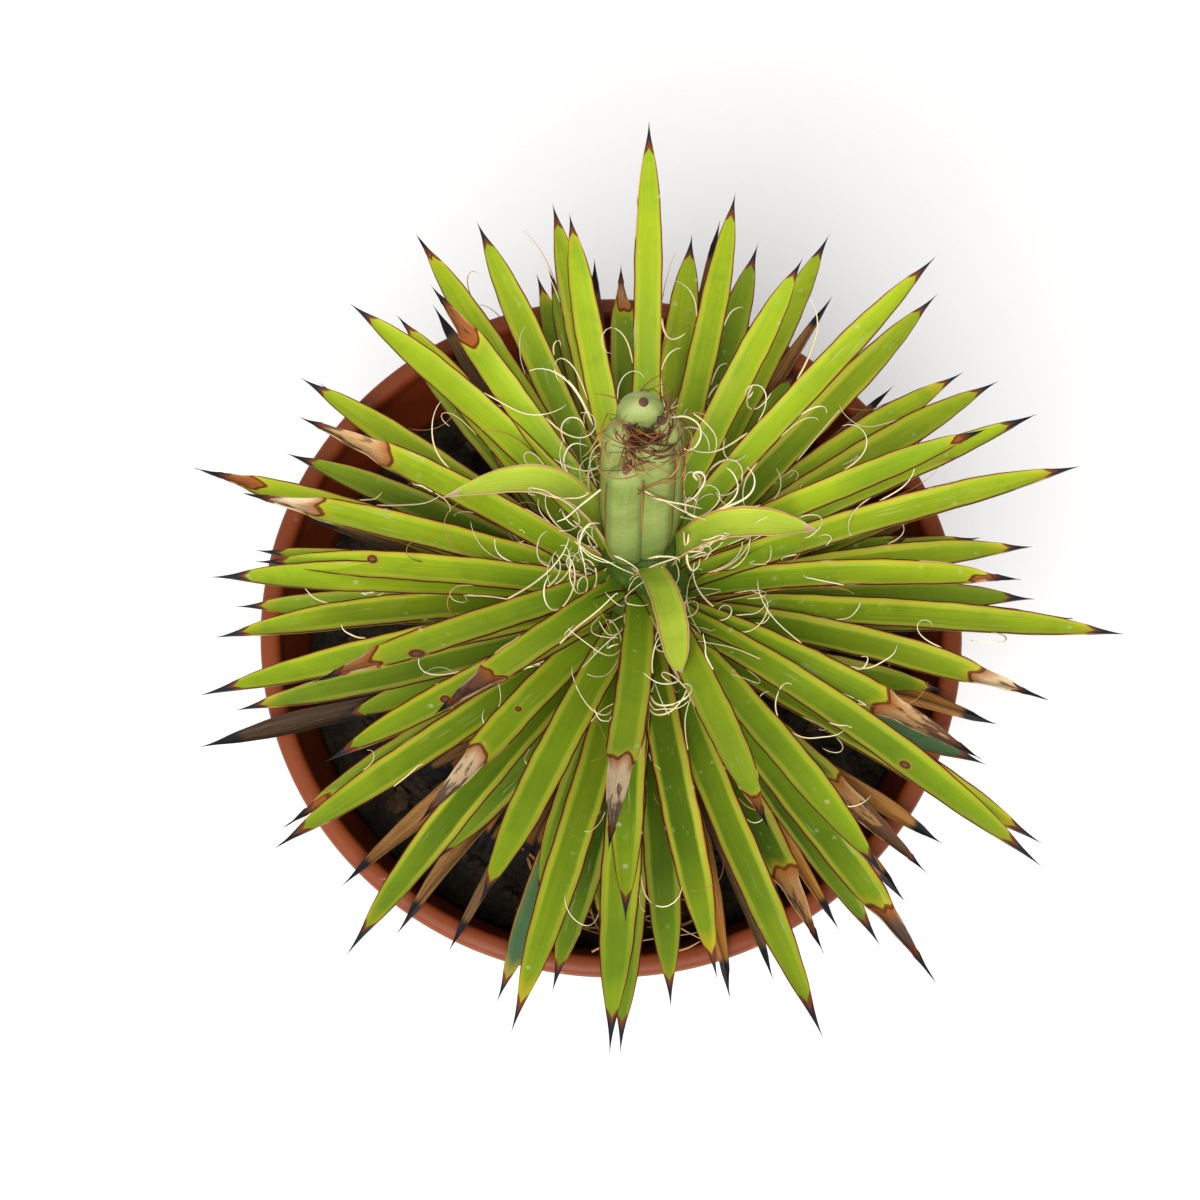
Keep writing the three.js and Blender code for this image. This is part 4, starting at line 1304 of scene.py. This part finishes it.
leaf_piece(
    "inner_leaf_blades", green["inner_leaf_green"], "leaf_bright", ["inner_leaves"],
    grown["curled"] + grown["young"] + heart)
leaf_piece("middle_leaf_blades", green["leaf_bright_green"], "leaf_bright", ["middle_leaves"], middle)
leaf_piece("outer_leaf_blades", green["outer_leaf_green"], "leaf_bright", ["outer_leaves"], outer)
leaf_piece("lower_leaf_blades", green["leaf_deep_green"], "leaf_dark", ["lower_leaves"], lower)
leaf_piece("blue_leaf_blades", green["leaf_blue_green"], "leaf_dark", [], blue)

dry_leaf = dry_finish()
short_dry = short_dry_leaves(DRY_SHORT)
scraps = short_dry_leaves(DRY_SCRAPS)
for leaf in grown["dry_long"]:
    leaf["dried"] = (2, DRY_TONES[leaf["heading"]])
    leaf["width"] *= between((0.6, 0.92), leaf["seed"] + 11)
for leaf in short_dry + scraps:
    leaf["dried"] = (2, between((0.1, 0.75), leaf["seed"] + 7))
for leaf in scraps:
    leaf["width"] *= between((0.45, 0.9), leaf["seed"] + 11)
leaf_piece("dry_leaf_blades", dry_leaf, "leaf_dry", ["dry_leaves"], grown["dry_long"] + short_dry, curl=0.35)
leaf_piece("dead_leaf_scraps", dry_leaf, "leaf_dry", [], scraps, curl=0.4)

cream = thread_finish("thread_cream", (0.82, 0.63, 0.32), (0.94, 0.86, 0.60))
rust = thread_finish("thread_rust", (0.19, 0.05, 0.012), (0.58, 0.28, 0.07))
dark_rust = thread_finish("thread_dark_rust", (0.055, 0.011, 0.003), (0.25, 0.07, 0.015))
straw = thread_finish("root_straw", (0.42, 0.19, 0.045), (0.54, 0.30, 0.10))

# Threads: how many, their seed, where along a leaf, how long, how far they curl in radians, their radius
leaf_threads("heart_threads", cream, grown["curled"] + heart, 90, 1000, (0.1, 0.6), (5, 16), (1, 4.6), 0.175)
leaf_threads("root_threads", cream, heart + middle, 46, 1500, (0.04, 0.22), (5, 13), (2, 5.4), 0.165)
leaf_threads("middle_threads", cream, middle, 85, 2000, (0.1, 0.65), (4, 15), (0.8, 4.2), 0.155)
leaf_threads("outer_threads", cream, outer, 55, 3000, (0.2, 0.75), (4, 14), (0.8, 4), 0.14)
leaf_threads("dark_threads", rust, heart + middle + outer, 30, 3500, (0.35, 0.8), (6, 14), (0.6, 3), 0.10)
# Fibres: how many, their seed, how far from the axis, how high above the crown, how long, their radius
bud_fibres("bud_rust_fibres", rust, 22, 4000, (5.2, 6.2), (21, 32), (4, 11), 0.11)
bud_fibres("bud_knot", dark_rust, 210, 6000, (0.2, 3.6), (26.2, 31.4), (3, 10), 0.125)
ribbons("bud_cream_ribbons", cream, CREAM_RIBBONS, 0.2)
ribbons("bud_rust_ribbons", rust, RUST_RIBBONS, 0.15)

make_bud(bud_finish())
make_stem(green["stem_green"])

soil_dark = soil_finish("soil_dark", (0.014, 0.011, 0.008), (0.050, 0.036, 0.021))
soil_bark = soil_finish("soil_bark", (0.035, 0.020, 0.011), (0.13, 0.072, 0.036))
make_soil(soil_dark)
# Crumbs: how many, their seed, their radii, and the radii between which they lie
make_crumbs("soil_crumbs", soil_dark, 420, 9000, (0.7, 1.9), 10, 49)
make_crumbs("bark_crumbs", soil_bark, 150, 9500, (0.8, 2.4), 10, 48.5)
make_roots(straw)
ribbons("loose_roots", straw, LOOSE_ROOTS, 0.23)
make_pot(pot_finish())

# ---- Floor, light and camera ----

FLOOR_REACH = 6000
CAMERA_AIM = Vector((-1.91, 3.13, 105)) * MM
CAMERA_ELEVATION = 74
CAMERA_DISTANCE = 299.3 * MM
CAMERA_LENS = 52.5
CAMERA_SENSOR = 36
WORLD_STRENGTH = 0.50

scene = bpy.context.scene


def plain_finish(name, colour, roughness):
    """Plain paper-like surface, barely clouded."""
    f = Finish(name)
    clouds = f.noise(f.place(), 3.0)
    return f.set(Base_Color=f.blend(clouds, colour, tuple(c * 0.985 for c in colour)), Roughness=roughness)


def make_floor():
    """A wide flat square under the pot."""
    floor = Surface()
    corners = np.array([(-1, -1, 0), (1, -1, 0), (1, 1, 0), (-1, 1, 0)])
    floor.add(corners * FLOOR_REACH, np.array([[0, 1, 2, 3]]), np.empty((0, 3), int))
    floor = floor.solid("floor")
    floor.data.materials.append(plain_finish("floor_white", (0.92, 0.92, 0.92), 0.9))


def stand(name, data, azimuth, elevation, distance):
    """Stands a light or camera at a distance from the aim, facing it; azimuth 0 is the camera's side."""
    az, el = math.radians(azimuth), math.radians(elevation)
    back = Vector((math.sin(az) * math.cos(el), -math.cos(az) * math.cos(el), math.sin(el)))
    thing = bpy.data.objects.new(name, data)
    thing.location = CAMERA_AIM + back * distance
    thing.rotation_euler = back.to_track_quat("Z", "Y").to_euler()
    scene.collection.objects.link(thing)
    return thing


def add_light():
    """One large, soft, barely warm window to the left of the camera."""
    light = bpy.data.lights.new("window_light", "AREA")
    light.size = 0.9
    light.energy = 20
    light.color = (1.0, 0.99, 0.97)
    stand("window_light", light, -16, 56, 1.2)


def add_camera():
    """The camera, steeply above the front, as the photograph looks down on the plant."""
    camera = bpy.data.cameras.new("camera")
    camera.sensor_width = CAMERA_SENSOR
    camera.lens = CAMERA_LENS
    camera.clip_start = 0.01
    scene.camera = stand("camera", camera, 0, CAMERA_ELEVATION, CAMERA_DISTANCE)


make_floor()
add_light()
world = bpy.data.worlds.new("studio")
world.use_nodes = True
world.node_tree.nodes["Background"].inputs["Color"].default_value = (1, 1, 1, 1)
world.node_tree.nodes["Background"].inputs["Strength"].default_value = WORLD_STRENGTH
scene.world = world
scene.view_settings.view_transform = "Standard"
add_camera()
